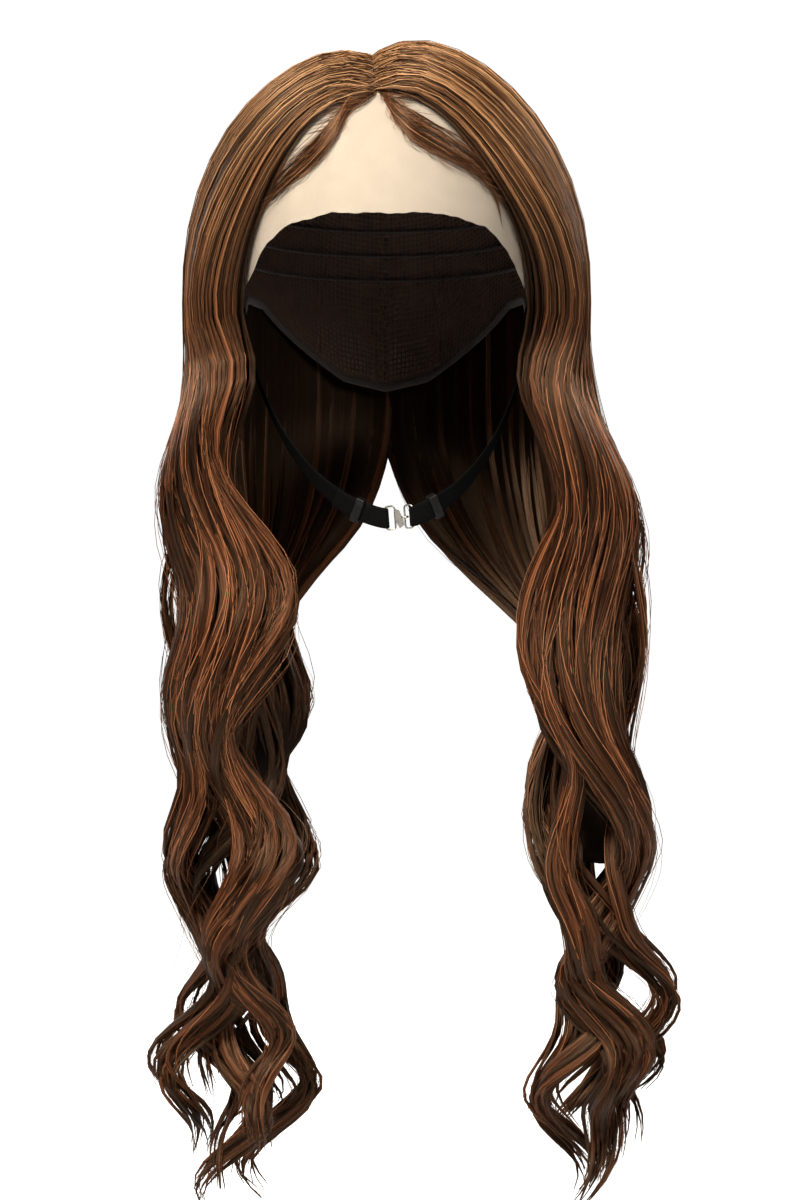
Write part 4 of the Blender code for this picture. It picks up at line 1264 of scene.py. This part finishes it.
def weft_rows(name, material):
    """Sewn rows that carry the hair inside the back of the cap: round tubes along level lines.

    The radius swells once for each stitch, by the sine of the distance along the row.
    """
    polar = np.arange(30.0, 95.0, 7.5)[:, None]
    azimuth = np.linspace(58.0, 302.0, 240)[None, :]
    places = head_surface(polar_direction(azimuth, polar + 0.0 * azimuth), -0.0005)
    along = unit(np.gradient(places, axis=1))
    out = unit(places + np.array([0.0, 0.0, CROWN_RISE]))
    across = np.cross(along, out)
    gone = lengths(places)
    radius = 0.0008 + 0.00022 * np.sin(gone * 2 * math.pi / 0.0045)
    rings = oval_rings(places, across, out, radius, radius, 6)
    around = np.arange(7)[None, :] * 0.0008 + np.zeros((len(places), 1))
    return skin(name, rings, around, gone, np.ones((*gone.shape, 4)), material)


def merged(piece):
    """Joins points that lie at one place, which closes a pole or a seam."""
    form = bmesh.new()
    form.from_mesh(piece.data)
    bmesh.ops.remove_doubles(form, verts=form.verts, dist=1e-6)
    form.to_mesh(piece.data)
    form.free()
    return piece


def part_strip(material):
    """Pale strip under the parting: a band of constant width over the crown, along the middle plane.

    Each row of the band lies at one polar angle, from the hairline to behind the crown, and its ends
    across are pressed down to the cap.
    """
    polar = np.linspace(44.0, -44.0, 60)[:, None]
    across = np.linspace(-1.0, 1.0, 9)[None, :]
    direction = polar_direction(0.0, polar + 0.0 * across)
    direction[..., 0] = (PART_OFFSET + across * STRIP_HALF) / (HEAD_WIDTH / 2)
    grid = head_surface(unit(direction), CAP_WALL * 0.9 + 0.0001 * (1.0 - across ** 2))
    low = head_surface(unit(direction), CAP_WALL * 0.6 + 0.0 * across)
    rings = np.concatenate([grid, low[:, ::-1]], axis=1)[None]
    around = np.concatenate([across[0], across[0, ::-1], [-1.0]])[None] * STRIP_HALF
    return skin("part_strip", rings, around, lengths(grid[None, :, 4]), np.ones((1, len(grid), 4)), material)


class WIG_OT_strap(bpy.types.Operator):
    """Make the chin strap, and give its metal and plastic parts their finishes"""

    bl_idname = "wig.strap"
    bl_label = "Chin strap"

    def execute(self, context):
        for (side, name), turn_back in zip(SIDES, (LEFT_TURN_BACK, RIGHT_TURN_BACK)):
            band = lay_strap("strap_band_" + name, side, turn_back, finish("black elastic"))
            set_on(band, "strap", "strap_" + name)
        for node, name in (("strap_hook", "nickel"), ("strap_ring", "nickel"),
                           ("keeper_left", "black plastic"), ("keeper_right", "black plastic")):
            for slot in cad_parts[node].material_slots:
                slot.material = finish(name)
        return {"FINISHED"}


class WIG_OT_stage(bpy.types.Operator):
    """Make the floor that sweeps up behind, the lights and the camera"""

    bl_idname = "wig.stage"
    bl_label = "Stage"

    def execute(self, context):
        tree, shader = new_material("pale stage")
        shade = remap(tree, noise(tree, object_places(tree), 3.0), 0.3, 0.7, 0.66, 0.70)
        seen = new_node(tree, "LightPath").outputs["Is Camera Ray"]
        fill(tree, shader, Base_Color=tinted(tree, shade), Roughness=0.9, Specular_IOR_Level=0.1,
             Emission_Color=(1.0, 1.0, 1.0, 1.0), Emission_Strength=maths(tree, "MULTIPLY_ADD", seen, 0.85, 0.02))
        turn = np.linspace(0.0, math.pi / 2, 20)
        near = FLOOR_REACH - FLOOR_CURVE
        far = np.concatenate([[0.0, 1.0, 3.0], near + FLOOR_CURVE * np.sin(turn), [FLOOR_REACH]])
        rise = np.concatenate([[0.0] * 3, FLOOR_CURVE - FLOOR_CURVE * np.cos(turn), [WALL_TOP - FLOOR]]) + FLOOR
        azimuth = np.radians(np.arange(0.0, 360.0, 6.0))[None, :]
        grid = np.stack(np.broadcast_arrays(far[:, None] * np.cos(azimuth), far[:, None] * np.sin(azimuth),
                                            rise[:, None]), axis=-1)
        merged(sheet_mesh("backdrop", grid, np.arange(61.0), far, finish("pale stage"), closed=True))
        world = bpy.data.worlds.new("Studio")
        world.use_nodes = True
        fill(world.node_tree, world.node_tree.nodes["Background"], Color=(1.0, 0.99, 0.97, 1.0), Strength=0.13)
        context.scene.world = world
        context.scene.view_settings.view_transform = "Standard"
        for name, place, size, power, colour in LIGHTS:
            data = bpy.data.lights.new(name, "AREA")
            data.size, data.energy, data.color = size, power, colour
            lamp = bpy.data.objects.new(name, data)
            lamp.location = place
            way = np.array(LIGHT_AIM) - np.array(place)
            flat = math.hypot(way[0], way[1])
            lamp.rotation_euler = (math.atan2(flat, -way[2]), 0.0, math.atan2(way[1], way[0]) - math.pi / 2)
            context.scene.collection.objects.link(lamp)
        data = bpy.data.cameras.new("Camera")
        data.lens, data.sensor_fit, data.sensor_height = CAMERA_LENS, "VERTICAL", CAMERA_FILM
        camera = bpy.data.objects.new("Camera", data)
        camera.location = CAMERA_PLACE
        camera.rotation_euler = (math.pi / 2, 0.0, 0.0)
        context.scene.collection.objects.link(camera)
        context.scene.camera = camera
        return {"FINISHED"}


class WIG_PT_panel(bpy.types.Panel):
    """Sidebar panel with the wig's sizes and one button for each piece"""

    bl_label = "Lace Front Wig"
    bl_idname = "WIG_PT_panel"
    bl_space_type = "VIEW_3D"
    bl_region_type = "UI"
    bl_category = "Wig"

    def draw(self, context):
        for name in WigSettings.__annotations__:
            self.layout.prop(context.scene.wig, name)
        for operator in BUILD_ORDER:
            self.layout.operator(operator.bl_idname)


BUILD_ORDER = (WIG_OT_materials, WIG_OT_stage, WIG_OT_hair, WIG_OT_fine_hair, WIG_OT_cap, WIG_OT_strap)
CLASSES = (WigSettings, *BUILD_ORDER, WIG_PT_panel)


def register():
    for made in CLASSES:
        bpy.utils.register_class(made)
    bpy.types.Scene.wig = PointerProperty(type=WigSettings)


def unregister():
    del bpy.types.Scene.wig
    for made in reversed(CLASSES):
        bpy.utils.unregister_class(made)


def main():
    register()
    for operator in BUILD_ORDER:
        group, name = operator.bl_idname.split(".")
        getattr(getattr(bpy.ops, group), name)()


if __name__ == "__main__":
    main()
